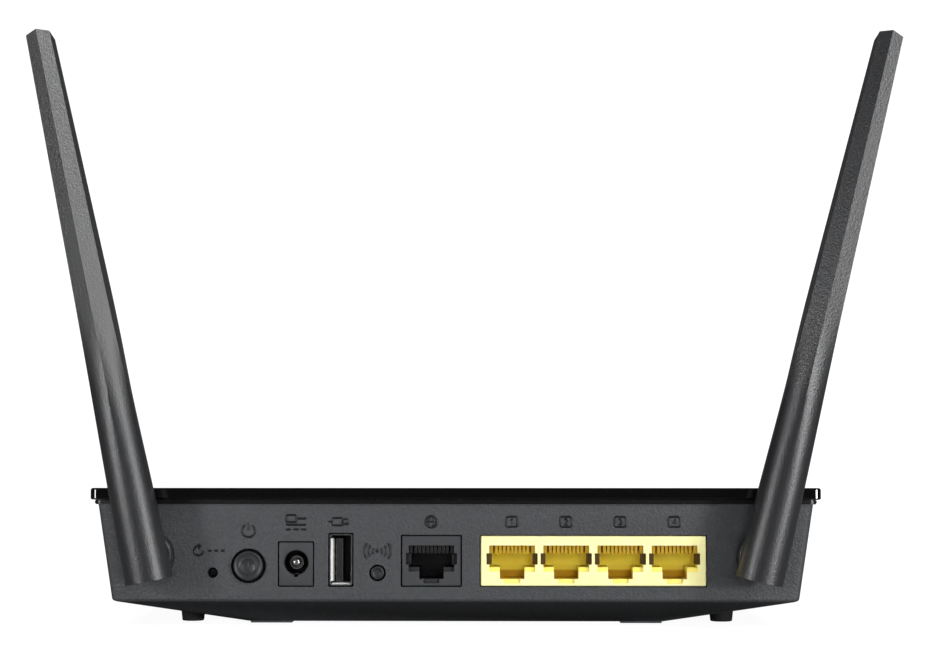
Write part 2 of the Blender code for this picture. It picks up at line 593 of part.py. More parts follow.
chip("right_shield_can", 0.0530, PROCESSOR_Y, SHIELD_WIDTH, SHIELD_LENGTH, 0.0026, TINNED_STEEL)
chip("light_strip", 0.000, LIGHTS_Y, bar_half * 2 - 0.002, 0.0024, 0.0012, CHIP_BLACK)
for i, x in enumerate(CAPACITOR_XS, 1):
    can = [
        (0, 0),
        (CAN_RADIUS, 0),
        (CAN_RADIUS, 0.0012),
        (CAN_RADIUS - 0.0002, 0.0015),
        (CAN_RADIUS, 0.0018),
        (CAN_RADIUS, CAN_HEIGHT - 0.0004),
        (CAN_RADIUS - 0.0004, CAN_HEIGHT),
        (0, CAN_HEIGHT),
    ]
    add(f"capacitor_{i}", turned(can, (x, TRANSFORMER_Y, ON_BOARD), "z", sides=16), ALUMINIUM)

sink_floor = ON_BOARD + PROCESSOR_HEIGHT + GAP
fin_pitch = (SINK_SIZE - SINK_FIN) / (SINK_FINS - 1)
fin_foot, fin_top = sink_floor + SINK_BASE, sink_floor + SINK_HEIGHT
fin_outline = [(-SINK_SIZE / 2, sink_floor), (SINK_SIZE / 2, sink_floor)]
for i in reversed(range(SINK_FINS)):
    x = (i - (SINK_FINS - 1) / 2) * fin_pitch
    left, right = x - SINK_FIN / 2, x + SINK_FIN / 2
    fin_outline += [(right, fin_top), (left, fin_top)]
    if i:
        fin_outline += [(left, fin_foot), (right - fin_pitch, fin_foot)]
sink = prism(fin_outline, PROCESSOR_Y - SINK_SIZE / 2, PROCESSOR_Y + SINK_SIZE / 2)
add("heat_sink", sink, ALUMINIUM, smooth=False)


# ---------------------------------------------------------------- connectors
def jack_body(x, width, height, depth, edge=0.0002):
    made = block((x - width / 2, FACE, JACK_FLOOR), (x + width / 2, FACE + depth, JACK_FLOOR + height))
    return bevel_edges(made, edge, 1, lambda e: True)


power_jack = add("dc_jack", jack_body(DC_X, DC_WIDTH, DC_HEIGHT, DC_DEPTH), JACK_BLACK)
boolean(power_jack, rod((DC_X, FACE - 0.001, DC_BORE_Z), "y", 0.0110, DC_BORE_RADIUS))
boolean(power_jack, rod((DC_X, FACE + 0.008, DC_BORE_Z), "y", 0.0050, DC_PIN_RADIUS + GAP, sides=16))
pin = [(0, 0), (DC_PIN_RADIUS * 0.6, 0), (DC_PIN_RADIUS, 0.0006), (DC_PIN_RADIUS, 0.0118), (0, 0.0118)]
add("dc_jack_pin", turned(pin, (DC_X, FACE + 0.0009, DC_BORE_Z), "y", sides=16), TINNED_STEEL)

low = (USB_X - USB_WIDTH / 2, JACK_FLOOR)
high = (USB_X + USB_WIDTH / 2, JACK_FLOOR + USB_HEIGHT)
shell = add("usb_jack_sleeve", prism(rounded(low, high, 0.0006, 2), FACE, FACE + USB_DEPTH), TINNED_STEEL)
inner = USB_SHEET
low_in, high_in = (low[0] + inner, low[1] + inner), (high[0] - inner, high[1] - inner)
boolean(shell, prism(rounded(low_in, high_in, 0.0003, 2), FACE - 0.001, FACE + USB_DEPTH + 0.001))
inner += GAP
plug = block(
    (low[0] + inner, FACE + USB_DEPTH - 0.0045, low[1] + inner),
    (high[0] - inner, FACE + USB_DEPTH - 0.0004, high[1] - inner),
)
tongue = add("usb_jack_tongue", plug, JACK_BLACK)
tongue_x = USB_X - 0.0004
boolean(
    tongue,
    block(
        (tongue_x - USB_TONGUE / 2, FACE + 0.0009, low[1] + 0.0011),
        (tongue_x + USB_TONGUE / 2, FACE + USB_DEPTH - 0.0030, high[1] - 0.0011),
    ),
    "UNION",
)


def socket(x, into):
    """The hollow that a network plug enters: its body, the latch's slot and the slot's narrow foot."""
    floor = JACK_FLOOR + OPENING_FLOOR
    half, latch, key = OPENING_WIDTH / 2, LATCH_WIDTH / 2, KEY_WIDTH / 2
    right = [
        (key, floor - LATCH_DEPTH - KEY_DEPTH),
        (key, floor - LATCH_DEPTH),
        (latch, floor - LATCH_DEPTH),
        (latch, floor),
        (half, floor),
        (half, floor + OPENING_HEIGHT),
    ]
    outline = right + [(-a, b) for a, b in reversed(right)]
    prism([(x + a, b) for a, b in outline], FACE - 0.001, FACE + JACK_CAVITY, into=into)


def notch(x, into):
    """The shallow steps at a socket's sides that the plug's shield springs pass."""
    floor = JACK_FLOOR + OPENING_FLOOR
    low = (x - NOTCH_WIDTH / 2, FACE - 0.001, floor + NOTCH_LOW)
    high = (x + NOTCH_WIDTH / 2, FACE + NOTCH_DEPTH, floor + NOTCH_HIGH)
    block(low, high, into=into)


def contacts(name, x):
    """Eight springs on one carrier: they run back and down from the socket's mouth."""
    top = JACK_FLOOR + OPENING_FLOOR + OPENING_HEIGHT - GAP
    near, far = FACE + 0.0007, FACE + JACK_CAVITY - GAP
    carrier = block((x - CONTACT_ROW / 2, near, top - 0.0007), (x + CONTACT_ROW / 2, near + 0.0022, top))
    piece = add(name, carrier, GOLD, smooth=False)
    springs = bmesh.new()
    for i in range(8):
        middle = x + (i - 3.5) * CONTACT_PITCH
        side_view = [
            (near + 0.0004, top - 0.0002),
            (near + 0.0018, top - 0.0002),
            (far - 0.0020, top - CONTACT_DIP + 0.0003),
            (far, top - CONTACT_DIP + 0.0003),
            (far, top - CONTACT_DIP),
            (far - 0.0022, top - CONTACT_DIP),
            (near + 0.0004, top - 0.0009),
        ]
        prism(side_view, middle - CONTACT_WIRE / 2, middle + CONTACT_WIRE / 2, "x", into=springs)
    boolean(piece, springs, "UNION")


wan = add("wan_jack", jack_body(WAN_X, WAN_WIDTH, JACK_HEIGHT, JACK_DEPTH), JACK_BLACK)
lan = add("lan_jack_block", jack_body(LAN_X, LAN_WIDTH, JACK_HEIGHT, JACK_DEPTH), JACK_YELLOW)
LAN_CENTRES = [LAN_X + (i - (LAN_PORTS - 1) / 2) * PORT_PITCH for i in range(LAN_PORTS)]
for jack, centres in ((wan, [WAN_X]), (lan, LAN_CENTRES)):
    for cut in (socket, notch):
        hollow = bmesh.new()
        for x in centres:
            cut(x, hollow)
        boolean(jack, hollow)
contacts("wan_contacts", WAN_X)
for i, x in enumerate(LAN_CENTRES, 1):
    contacts(f"lan_contacts_{i}", x)


# ---------------------------------------------------------------- buttons and their switches
def push_button(name, x, z, radius, proud, gap, stem):
    """A button through the panel: cap, a flange behind the wall to keep it in, and a stem into the switch."""
    behind = WALL + GAP
    flange = radius + gap + FLANGE_REACH
    profile = [
        (0, -proud),
        (radius - 0.0003, -proud),
        (radius, -proud + 0.0003),
        (radius, behind),
        (flange, behind),
        (flange, behind + BUTTON_FLANGE),
        (stem, behind + BUTTON_FLANGE),
        (stem, SWITCH_FROM_REAR + STEM_BITE),
        (0, SWITCH_FROM_REAR + STEM_BITE),
    ]
    return add(name, turned(profile, (x, REAR, z), "y"), CASE_PLASTIC)


def switch(name, x, z, width, height, stem, travel):
    """A switch on the board, with a bore that its button's stem slides in."""
    near = REAR + SWITCH_FROM_REAR
    made = block((x - width / 2, near, ON_BOARD), (x + width / 2, near + SWITCH_DEPTH, ON_BOARD + height))
    bevel_edges(made, 0.0003, 1, lambda e: True)
    body = add(name, made, CHIP_BLACK)
    bore = 0.001 + STEM_BITE + travel + 2 * GAP
    boolean(body, rod((x, near - 0.001, z), "y", bore, stem + GAP, sides=16))


push_button("power_button", POWER_X, POWER_Z, POWER_RADIUS, POWER_PROUD, POWER_GAP, POWER_STEM)
push_button("pairing_button", WPS_X, WPS_Z, WPS_RADIUS, WPS_PROUD, WPS_GAP, SMALL_STEM)
plunger_end = SWITCH_FROM_REAR + STEM_BITE
plunger = [(0, RESET_DEPTH), (SMALL_STEM, RESET_DEPTH), (SMALL_STEM, plunger_end), (0, plunger_end)]
add("reset_plunger", turned(plunger, (RESET_X, REAR, RESET_Z), "y", sides=16), JACK_BLACK)
switch("power_switch", POWER_X, POWER_Z, 0.0084, 0.0092, POWER_STEM, POWER_TRAVEL)
switch("pairing_switch", WPS_X, WPS_Z, 0.0060, 0.0062, SMALL_STEM, WPS_TRAVEL)
switch("reset_switch", RESET_X, RESET_Z, 0.0060, 0.0062, SMALL_STEM, RESET_TRAVEL)


# ---------------------------------------------------------------- antennas
# A swivel's origin is where its axis crosses the panel's face; an antenna's origin is on its fold axis.
# Facet corners across the antenna: direction when round, place when faceted, and the steps after it.
CORNERS = (
    (-90, (0.0, -1.0), 4),
    (-18, (0.87, -0.49), 3),
    (36, (1.0, 0.68), 2),
    (66, (0.60, 1.0), 4),
    (114, (-0.60, 1.0), 2),
    (144, (-1.0, 0.68), 3),
    (198, (-0.87, -0.49), 4),
)


def antenna_ring(height):
    """The antenna's outline at a height over the fold axis, round at the foot and faceted above."""
    t = (height + ANTENNA_FOOT) / (ANTENNA_TOP + ANTENNA_FOOT)
    half_width = FOOT_HALF_WIDTH + (TOP_HALF_WIDTH - FOOT_HALF_WIDTH) * t
    outer = ANTENNA_OUTER_FOOT + (ANTENNA_OUTER_TOP - ANTENNA_OUTER_FOOT) * t
    inner = ANTENNA_INNER_FOOT + (ANTENNA_INNER_TOP - ANTENNA_INNER_FOOT) * t
    b = min(1.0, max(0.0, (height - BLEND_START) / (BLEND_END - BLEND_START)))
    b = b * b * (3 - 2 * b)
    points = []
    for i, (angle, (u, v), steps) in enumerate(CORNERS):
        next_angle, (next_u, next_v), _ = CORNERS[(i + 1) % len(CORNERS)]
        next_angle += 360 * (i + 1 == len(CORNERS))
        for k in range(steps):
            s = k / steps
            around = math.radians(angle + (next_angle - angle) * s)
            px = (1 - b) * math.cos(around) + b * (u + (next_u - u) * s)
            py = (1 - b) * math.sin(around) + b * (v + (next_v - v) * s)
            points.append((half_width * px, (outer + inner) / 2 + (inner - outer) / 2 * py, height))
    return points


def antenna_body():
    heights = [-ANTENNA_FOOT, BLEND_START]
    heights += [BLEND_START + (BLEND_END - BLEND_START) * i / BLEND_STEPS for i in range(1, BLEND_STEPS + 1)]
    heights.append(ANTENNA_TOP)
    made = bmesh.new()
    rings = [[made.verts.new(p) for p in antenna_ring(h)] for h in heights]
    for v in rings[-1]:
        v.co.z -= (v.co.y - ANTENNA_OUTER_TOP) * math.tan(TIP_SLOPE)
    for low, high in zip(rings, rings[1:]):
        for i in range(len(low)):
            j = (i + 1) % len(low)
            made.faces.new((low[i], low[j], high[j], high[i]))
    foot, tip = made.faces.new(rings[0]), made.faces.new(rings[-1])
    foot_edges = set(foot.edges)
    tip_edges = set(tip.edges)
    bevel_edges(made, 0.0004, 1, lambda e: e in foot_edges or e in tip_edges)
    return made


def antenna(side, place, lean):
    swivel = empty(f"{side}_swivel_axis", place, lean)
    fold = empty(f"{side}_fold_axis", (0, -PIVOT_STANDOFF, 0), parent=swivel)

    disc_face = RECESS_DEPTH - GAP
    groove = WALL + GAP
    stem = [
        (STEM_BORE, STEM_REACH),
        (STEM_RADIUS - 0.0003, STEM_REACH),
        (STEM_RADIUS, STEM_REACH - 0.0003),
        (STEM_RADIUS, groove + CLIP_THICKNESS + GAP),
        (STEM_RADIUS - CLIP_GROOVE, groove + CLIP_THICKNESS + GAP),
        (STEM_RADIUS - CLIP_GROOVE, groove - GAP),
        (STEM_RADIUS, groove - GAP),
        (STEM_RADIUS, disc_face),
        (DISC_RADIUS, disc_face),
        (DISC_RADIUS, disc_face - DISC_THICKNESS + 0.0004),
        (DISC_RADIUS - 0.0004, disc_face - DISC_THICKNESS),
        (0, disc_face - DISC_THICKNESS),
        (0, disc_face - DISC_THICKNESS + 0.0010),
        (STEM_BORE, disc_face - DISC_THICKNESS + 0.0010),
    ]
    knuckle = add(f"{side}_swivel_knuckle", turned(stem, (0, 0, 0), "y"), ANTENNA_PLASTIC, swivel)
    ear = [(disc_face - DISC_THICKNESS + 0.0005, EAR_RADIUS)]
    ear += arc((-PIVOT_STANDOFF, 0), EAR_RADIUS, 90, 270, 12)
    ear.append((disc_face - DISC_THICKNESS + 0.0005, -EAR_RADIUS))
    boolean(knuckle, prism(ear, -EAR_WIDTH / 2, EAR_WIDTH / 2, "x"), "UNION", swivel)
    boolean(knuckle, rod((-EAR_WIDTH, 0, 0), "x", 2 * EAR_WIDTH, PIN_RADIUS + GAP, sides=16), parent=fold)

    ring = [
        (STEM_RADIUS - CLIP_GROOVE + GAP, groove),
        (CLIP_RADIUS, groove),
        (CLIP_RADIUS, groove + CLIP_THICKNESS),
        (STEM_RADIUS - CLIP_GROOVE + GAP, groove + CLIP_THICKNESS),
    ]
    add(f"{side}_swivel_clip", turned(ring, (0, 0, 0), "y", sides=ROUND), TINNED_STEEL, swivel)

    body = add(f"{side}_antenna", antenna_body(), ANTENNA_PLASTIC, fold)
    reach = EAR_RADIUS + 2 * GAP
    slot = block((-EAR_WIDTH / 2 - GAP, -reach, -0.0100), (EAR_WIDTH / 2 + GAP, 0.0100, reach))
    boolean(body, slot, parent=fold)
    swing = PIVOT_STANDOFF - FOOT_CLEARANCE
    corner = arc((0, 0), swing, 0, -80, 8) + [(0.0010, -0.0120), (0.0120, -0.0120), (0.0120, 0)]
    boolean(body, prism(corner, -0.0100, 0.0100, "x"), parent=fold)
    bore = rod((-PIN_LENGTH / 2 - GAP, 0, 0), "x", PIN_LENGTH + 2 * GAP, PIN_RADIUS + GAP, sides=16)
    boolean(body, bore, parent=fold)
    x, y = ELEMENT_WIDTH / 2 + GAP, ELEMENT_THICKNESS / 2 + GAP
    hollow = block((-x, ELEMENT_Y - y, HOLLOW_START), (x, ELEMENT_Y + y, HOLLOW_END))
    boolean(body, hollow, parent=fold)
    feed = rod((0, ELEMENT_Y, 0.0), "z", HOLLOW_START + 0.001, FEED_RADIUS + GAP, sides=12)
    boolean(body, feed, parent=fold)

    pin = rod((-PIN_LENGTH / 2, 0, 0), "x", PIN_LENGTH, PIN_RADIUS, sides=16)
    add(f"{side}_hinge_pin", pin, TINNED_STEEL, fold)

    x, y = ELEMENT_WIDTH / 2, ELEMENT_THICKNESS / 2
    strip = block((-x, ELEMENT_Y - y, ELEMENT_START), (x, ELEMENT_Y + y, ELEMENT_END))
    element = add(f"{side}_antenna_element", strip, COPPER, fold)
    start = EAR_RADIUS + 4 * GAP
    tail = rod((0, ELEMENT_Y, start), "z", ELEMENT_START + 0.001 - start, FEED_RADIUS * 0.6, sides=12)
    boolean(element, tail, "UNION", fold)


antenna("left", (-PIVOT_X, REAR, PIVOT_Z), LEFT_LEAN)
antenna("right", (PIVOT_X, REAR, PIVOT_Z), RIGHT_LEAN)


# ---------------------------------------------------------------- aerial leads inside the case
def lead(side, sign):
    """A thin lead from the swivel's bore to its plug on the board."""
    start = Vector((sign * PIVOT_X, REAR + 0.0020, PIVOT_Z))
    plug = Vector((sign * (BOARD_HALF - COAX_PLUG_INSET), COAX_PLUG_Y, ON_BOARD + 0.0008))
    edge = plug + Vector((sign * (0.0014 + GAP), 0, 0))
    curve = bpy.data.curves.new(f"{side}_lead_path", "CURVE")
    curve.dimensions = "3D"
    curve.bevel_depth = COAX_RADIUS
    curve.bevel_resolution = 1
    curve.resolution_u = 8
    curve.use_fill_caps = True
    spline = curve.splines.new("BEZIER")
    spline.bezier_points.add(1)
    first, last = spline.bezier_points
    first.co, last.co = start, edge
    first.handle_left, first.handle_right = start - Vector((0, 0.005, 0)), start + Vector((0, 0.018, 0))
    inwards = Vector((sign * 0.008, 0, 0))
    last.handle_left, last.handle_right = edge + inwards, edge - inwards
    drawn = bpy.data.objects.new(f"{side}_lead_path", curve)
    mesh = bpy.data.meshes.new_from_object(drawn)
    bpy.data.objects.remove(drawn, do_unlink=True)
    made = bmesh.new()
    made.from_mesh(mesh)
    bmesh.ops.remove_doubles(made, verts=made.verts, dist=1e-6)
    add(f"{side}_aerial_lead", made, COAX_SLEEVE)
    top = [(0, 0), (0.0014, 0), (0.0014, 0.0014), (0.0011, 0.0017), (0, 0.0017)]
    add(f"{side}_lead_plug", turned(top, (plug.x, plug.y, ON_BOARD), "z", sides=16), GOLD)


lead("left", -1)
lead("right", 1)
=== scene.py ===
import json
import math

import bmesh
import bpy
from mathutils import Matrix, Vector


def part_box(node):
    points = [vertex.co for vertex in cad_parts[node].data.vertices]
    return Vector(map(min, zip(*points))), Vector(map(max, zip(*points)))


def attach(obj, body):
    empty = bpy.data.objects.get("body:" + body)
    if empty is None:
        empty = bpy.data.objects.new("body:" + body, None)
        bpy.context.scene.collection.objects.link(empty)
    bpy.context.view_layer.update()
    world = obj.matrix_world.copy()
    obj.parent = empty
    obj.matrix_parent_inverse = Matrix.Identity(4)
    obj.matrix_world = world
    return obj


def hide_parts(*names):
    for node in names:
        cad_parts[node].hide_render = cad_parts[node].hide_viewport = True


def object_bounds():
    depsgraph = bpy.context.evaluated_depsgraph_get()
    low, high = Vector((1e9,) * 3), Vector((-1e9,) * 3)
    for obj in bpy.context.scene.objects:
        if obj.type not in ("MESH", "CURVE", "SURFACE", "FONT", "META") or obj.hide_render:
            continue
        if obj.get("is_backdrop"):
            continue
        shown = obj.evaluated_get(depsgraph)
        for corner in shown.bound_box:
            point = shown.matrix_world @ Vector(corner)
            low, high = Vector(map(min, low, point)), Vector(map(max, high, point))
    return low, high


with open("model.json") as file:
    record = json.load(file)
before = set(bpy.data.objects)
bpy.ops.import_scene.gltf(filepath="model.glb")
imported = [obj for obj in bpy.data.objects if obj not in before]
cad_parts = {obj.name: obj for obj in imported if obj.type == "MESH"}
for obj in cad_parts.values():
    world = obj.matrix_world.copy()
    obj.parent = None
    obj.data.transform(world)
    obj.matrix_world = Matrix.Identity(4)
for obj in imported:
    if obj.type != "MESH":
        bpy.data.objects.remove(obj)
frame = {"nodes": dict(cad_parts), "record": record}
cad_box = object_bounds()
nodes = frame["nodes"]

# ================================================================ case
# The case is a deep tub moulded in dark grey ABS. Its outside keeps the fine spark-eroded grain of the steel mould,
# its corners are a little polished by handling, and everything else is screwed, clipped or soldered into it.


def feed(tree, socket, value):
    """Links an input to the output that feeds it, or sets its value."""
    if isinstance(value, bpy.types.NodeSocket):
        tree.links.new(value, socket)
    else:
        socket.default_value = value


def put(tree, kind, inputs=None, **settings):
    """Adds a node to a tree; an input is given as a value or as the output that feeds it."""
    made = tree.nodes.new(kind)
    for key, value in settings.items():
        setattr(made, key, value)
    for key, value in (inputs or {}).items():
        feed(tree, made.inputs[key], value)
    return made


def calc(tree, operation, *values):
    """A math node's output."""
    return put(tree, "ShaderNodeMath", dict(enumerate(values)), operation=operation).outputs[0]


def ramp(tree, value, start, end, low=0.0, high=1.0, **settings):
    """A value carried from one range to another and held between its ends."""
    limits = {"Value": value, "From Min": start, "From Max": end, "To Min": low, "To Max": high}
    return put(tree, "ShaderNodeMapRange", limits, **settings).outputs["Result"]


def noise(tree, place, scale, detail, roughness=0.5, distortion=0.0):
    """A noise texture's value at a place."""
    inputs = {"Vector": place, "Scale": scale, "Detail": detail, "Roughness": roughness, "Distortion": distortion}
    return put(tree, "ShaderNodeTexNoise", inputs).outputs["Fac"]


def object_place(tree):
    """The shaded point in the piece's own frame."""
    return put(tree, "ShaderNodeTexCoord").outputs["Object"]


def blend_colours(tree, amount, first, second):
    """A colour between two, by an amount from 0 to 1."""
    made = put(tree, "ShaderNodeMix", data_type="RGBA")
    sockets = {socket.identifier: socket for socket in made.inputs}
    for identifier, value in (("Factor_Float", amount), ("A_Color", first), ("B_Color", second)):
        feed(tree, sockets[identifier], value)
    return next(socket for socket in made.outputs if socket.identifier == "Result_Color")


def shader_group(name, sockets_in, sockets_out):
    """An empty shader group with named sockets: returns the tree, its input node and its output node."""
    tree = bpy.data.node_groups.new(name, "ShaderNodeTree")
    for label, kind, value in sockets_in:
        socket = tree.interface.new_socket(label, in_out="INPUT", socket_type=kind)
        socket.default_value = value
    for label, kind in sockets_out:
        tree.interface.new_socket(label, in_out="OUTPUT", socket_type=kind)
    return tree, tree.nodes.new("NodeGroupInput").outputs, tree.nodes.new("NodeGroupOutput").inputs


def use(tree, group, inputs):
    """Places a shader group in a material: returns its outputs."""
    return put(tree, "ShaderNodeGroup", inputs, node_tree=group).outputs


FLOAT, COLOUR = "NodeSocketFloat", "NodeSocketColor"


def build_moulded_grain():
    """Height and roughness of a spark-eroded mould surface: fine craters over a slow drift."""
    ins = [("Cell", FLOAT, 0.0004), ("Roughness", FLOAT, 0.5), ("Spread", FLOAT, 0.1)]
    outs = [("Height", FLOAT), ("Roughness", FLOAT), ("Speckle", FLOAT)]
    tree, given, out = shader_group("moulded_grain", ins, outs)
    place = object_place(tree)
    per_metre = calc(tree, "DIVIDE", 1.0, given["Cell"])
    craters = put(tree, "ShaderNodeTexVoronoi", {"Vector": place, "Scale": per_metre}, feature="SMOOTH_F1")
    fine = noise(tree, place, calc(tree, "MULTIPLY", per_metre, 0.7), 5.0, roughness=0.7)
    slow = noise(tree, place, 45.0, 3.0)
    height = calc(tree, "ADD", calc(tree, "MULTIPLY", craters.outputs["Distance"], 0.6), fine)
    tree.links.new(height, out["Height"])
    mixed = calc(tree, "ADD", calc(tree, "MULTIPLY", fine, 0.6), calc(tree, "MULTIPLY", slow, 0.4))
    swing = calc(tree, "MULTIPLY", calc(tree, "SUBTRACT", mixed, 0.5), given["Spread"])
    tree.links.new(calc(tree, "ADD", given["Roughness"], swing), out["Roughness"])
    tree.links.new(calc(tree, "SUBTRACT", fine, 0.5), out["Speckle"])
    return tree


def build_colour_drift():
    """A colour that wanders a little in brightness, in slow clouds and in fine speckle."""
    ins = [("Color", COLOUR, (0.1, 0.1, 0.1, 1)), ("Clouds", FLOAT, 0.1), ("Cloud Size", FLOAT, 0.03)]
    ins += [("Speckle", FLOAT, 0.0), ("Amount", FLOAT, 0.3)]
    tree, given, out = shader_group("colour_drift", ins, [("Color", COLOUR)])
    clouds = noise(tree, object_place(tree), calc(tree, "DIVIDE", 1.0, given["Cloud Size"]), 4.0)
    drift = calc(tree, "MULTIPLY", calc(tree, "SUBTRACT", clouds, 0.5), given["Clouds"])
    grain = calc(tree, "MULTIPLY", given["Speckle"], given["Amount"])
    gain = calc(tree, "ADD", 1.0, calc(tree, "ADD", calc(tree, "MULTIPLY", drift, 2.0), grain))
    scaled = put(tree, "ShaderNodeVectorMath", {0: given["Color"], "Scale": gain}, operation="SCALE")
    tree.links.new(scaled.outputs["Vector"], out["Color"])
    return tree


def build_edge_wear():
    """A mask of the edges within a radius, broken up by noise."""
    ins = [("Radius", FLOAT, 0.0004), ("Strength", FLOAT, 1.0)]
    tree, given, out = shader_group("edge_wear", ins, [("Mask", FLOAT)])
    soft = put(tree, "ShaderNodeBevel", {"Radius": given["Radius"]}, samples=4)
    hard = put(tree, "ShaderNodeNewGeometry").outputs["Normal"]
    match = put(tree, "ShaderNodeVectorMath", {0: soft.outputs["Normal"], 1: hard}, operation="DOT_PRODUCT")
    turn = calc(tree, "SUBTRACT", 1.0, match.outputs["Value"])
    broken = noise(tree, object_place(tree), 900.0, 4.0)
    mask = calc(tree, "MULTIPLY", calc(tree, "MULTIPLY", turn, 6.0), broken)
    held = put(tree, "ShaderNodeClamp", {"Value": calc(tree, "MULTIPLY", mask, given["Strength"])})
    tree.links.new(held.outputs[0], out["Mask"])
    return tree


def build_smudges():
    """Roughness of a handled polished face: faint smears and a few fine dust specks."""
    ins = [("Roughness", FLOAT, 0.05), ("Smears", FLOAT, 0.08)]
    tree, given, out = shader_group("smudges", ins, [("Roughness", FLOAT), ("Height", FLOAT)])
    place = object_place(tree)
    stretched = put(tree, "ShaderNodeMapping", {"Vector": place, "Scale": (1.0, 3.0, 1.0), "Rotation": (0, 0, 0.6)})
    smears = ramp(tree, noise(tree, stretched.outputs[0], 26.0, 5.0, distortion=0.6), 0.45, 0.8)
    specks = put(tree, "ShaderNodeTexVoronoi", {"Vector": place, "Scale": 260.0}).outputs["Distance"]
    rough = calc(tree, "ADD", given["Roughness"], calc(tree, "MULTIPLY", smears, given["Smears"]))
    tree.links.new(calc(tree, "ADD", rough, ramp(tree, specks, 0.0, 0.05, 0.25, 0.0)), out["Roughness"])
    tree.links.new(noise(tree, place, 120.0, 1.0), out["Height"])
    return tree


MOULDED_GRAIN = build_moulded_grain()
COLOUR_DRIFT = build_colour_drift()
EDGE_WEAR = build_edge_wear()
SMUDGES = build_smudges()


def finish(name, metallic=0.0, specular=0.5, coat=0.0, coat_roughness=0.1):
    """A material with its Principled shader: returns both and the node tree."""
    made = bpy.data.materials.new(name)
    made.use_nodes = True
    tree = made.node_tree
    shader = tree.nodes["Principled BSDF"]
    shader.inputs["Metallic"].default_value = metallic
    shader.inputs["Specular IOR Level"].default_value = specular
    shader.inputs["Coat Weight"].default_value = coat
    shader.inputs["Coat Roughness"].default_value = coat_roughness
    return made, tree, shader


def bump(tree, shader, height, strength, distance):
    """Feeds a height to the shader's normal."""
    made = put(tree, "ShaderNodeBump", {"Height": height, "Strength": strength, "Distance": distance})
    tree.links.new(made.outputs[0], shader.inputs["Normal"])


def grained(tree, shader, colour, cell, roughness, spread, clouds, speckle, cloud_size=0.03):
    """Feeds a drifting colour and the grain's roughness to a shader: returns the colour and the grain's height."""
    grain = use(tree, MOULDED_GRAIN, {"Cell": cell, "Roughness": roughness, "Spread": spread})
    drift = {"Color": (*colour, 1), "Clouds": clouds, "Cloud Size": cloud_size, "Amount": speckle}
    base = use(tree, COLOUR_DRIFT, {**drift, "Speckle": grain["Speckle"]})["Color"]
    tree.links.new(base, shader.inputs["Base Color"])
    tree.links.new(grain["Roughness"], shader.inputs["Roughness"])
    return base, grain["Height"]


def moulded_plastic(name, colour, roughness, cell, depth, spread=0.12, worn=0.25, speckle=0.25, specular=0.5):
    """Injection-moulded plastic: mould grain, a slow drift in tone, and edges rubbed a little lighter."""
    made, tree, shader = finish(name, specular=specular)
    base, height = grained(tree, shader, colour, cell, roughness, spread, 0.06, speckle)
    wear = use(tree, EDGE_WEAR, {"Radius": 0.0003, "Strength": worn})["Mask"]
    pale = [min(1.0, c * 1.9 + 0.02) for c in colour]
    tree.links.new(blend_colours(tree, wear, base, (*pale, 1)), shader.inputs["Base Color"])
    bump(tree, shader, height, 0.7, depth)
    return made


def plain_mesh(builder, name):
    """Turns a bmesh into a mesh."""
    mesh = bpy.data.meshes.new(name)
    builder.to_mesh(mesh)
    builder.free()
    return mesh


def shade(mesh, sharp):
    """Shades a mesh smooth, but for edges that turn by more than an angle in degrees."""
    mesh.shade_smooth()
    mesh.set_sharp_from_angle(angle=math.radians(sharp))


def in_scene(name, data):
    """A new object in the scene."""
    made = bpy.data.objects.new(name, data)
    bpy.context.scene.collection.objects.link(made)
    return made


def break_edges(piece, width, segments, sharp):
    """Rounds a piece's edges that turn by more than an angle in degrees."""
    made = piece.modifiers.new("broken_edges", "BEVEL")
    made.width, made.segments = width, segments
    made.limit_method, made.angle_limit = "ANGLE", math.radians(sharp)
    made.harden_normals = True


def belongs(piece, body, replaced=()):
    """Gives a piece its body, and hides the CAD nodes that it stands in for."""
    if replaced:
        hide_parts(*replaced)
    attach(piece, body)


def dressed(node, name, body, material, edge=0.00012, segments=2, sharp=32):
    """A CAD node's shape with its edges broken and its round walls smooth, in place of the node."""
    shape = bmesh.new()
    shape.from_mesh(nodes[node].data)
    bmesh.ops.remove_doubles(shape, verts=shape.verts, dist=2e-6)
    bmesh.ops.dissolve_limit(shape, angle_limit=math.radians(0.5), verts=shape.verts, edges=shape.edges)
    mesh = plain_mesh(shape, name)
    mesh.materials.append(material)
    shade(mesh, sharp)
    piece = in_scene(name, mesh)
    break_edges(piece, edge, segments, sharp)
    belongs(piece, body, [node])


case_grey = moulded_plastic("case_grey", (0.047, 0.049, 0.053), 0.50, 0.00055, 0.00026, speckle=1.0, worn=0.5)
dressed("bottom_case", "case_tub", "housing", case_grey)

# ---------------------------------------------------------------- marks moulded in the panel
# Thin raised lines stand on the panel over each socket and button. They are cut into the mould with a small
# round cutter, so each line is a low bead, smoother than the grained wall round it.
MARK_RADIUS = 0.00031
MARK_SINK = 0.00006  # the bead's axis, behind the panel's face


def geometry_tree(name, sockets):
    """An empty Geometry Nodes tree with named inputs: returns the tree, its input node and its output node."""
    tree = bpy.data.node_groups.new(name, "GeometryNodeTree")
    tree.interface.new_socket("Geometry", in_out="INPUT", socket_type="NodeSocketGeometry")
    for label, kind in sockets:
        tree.interface.new_socket(label, in_out="INPUT", socket_type=kind)
    tree.interface.new_socket("Geometry", in_out="OUTPUT", socket_type="NodeSocketGeometry")
    return tree, tree.nodes.new("NodeGroupInput").outputs, tree.nodes.new("NodeGroupOutput").inputs


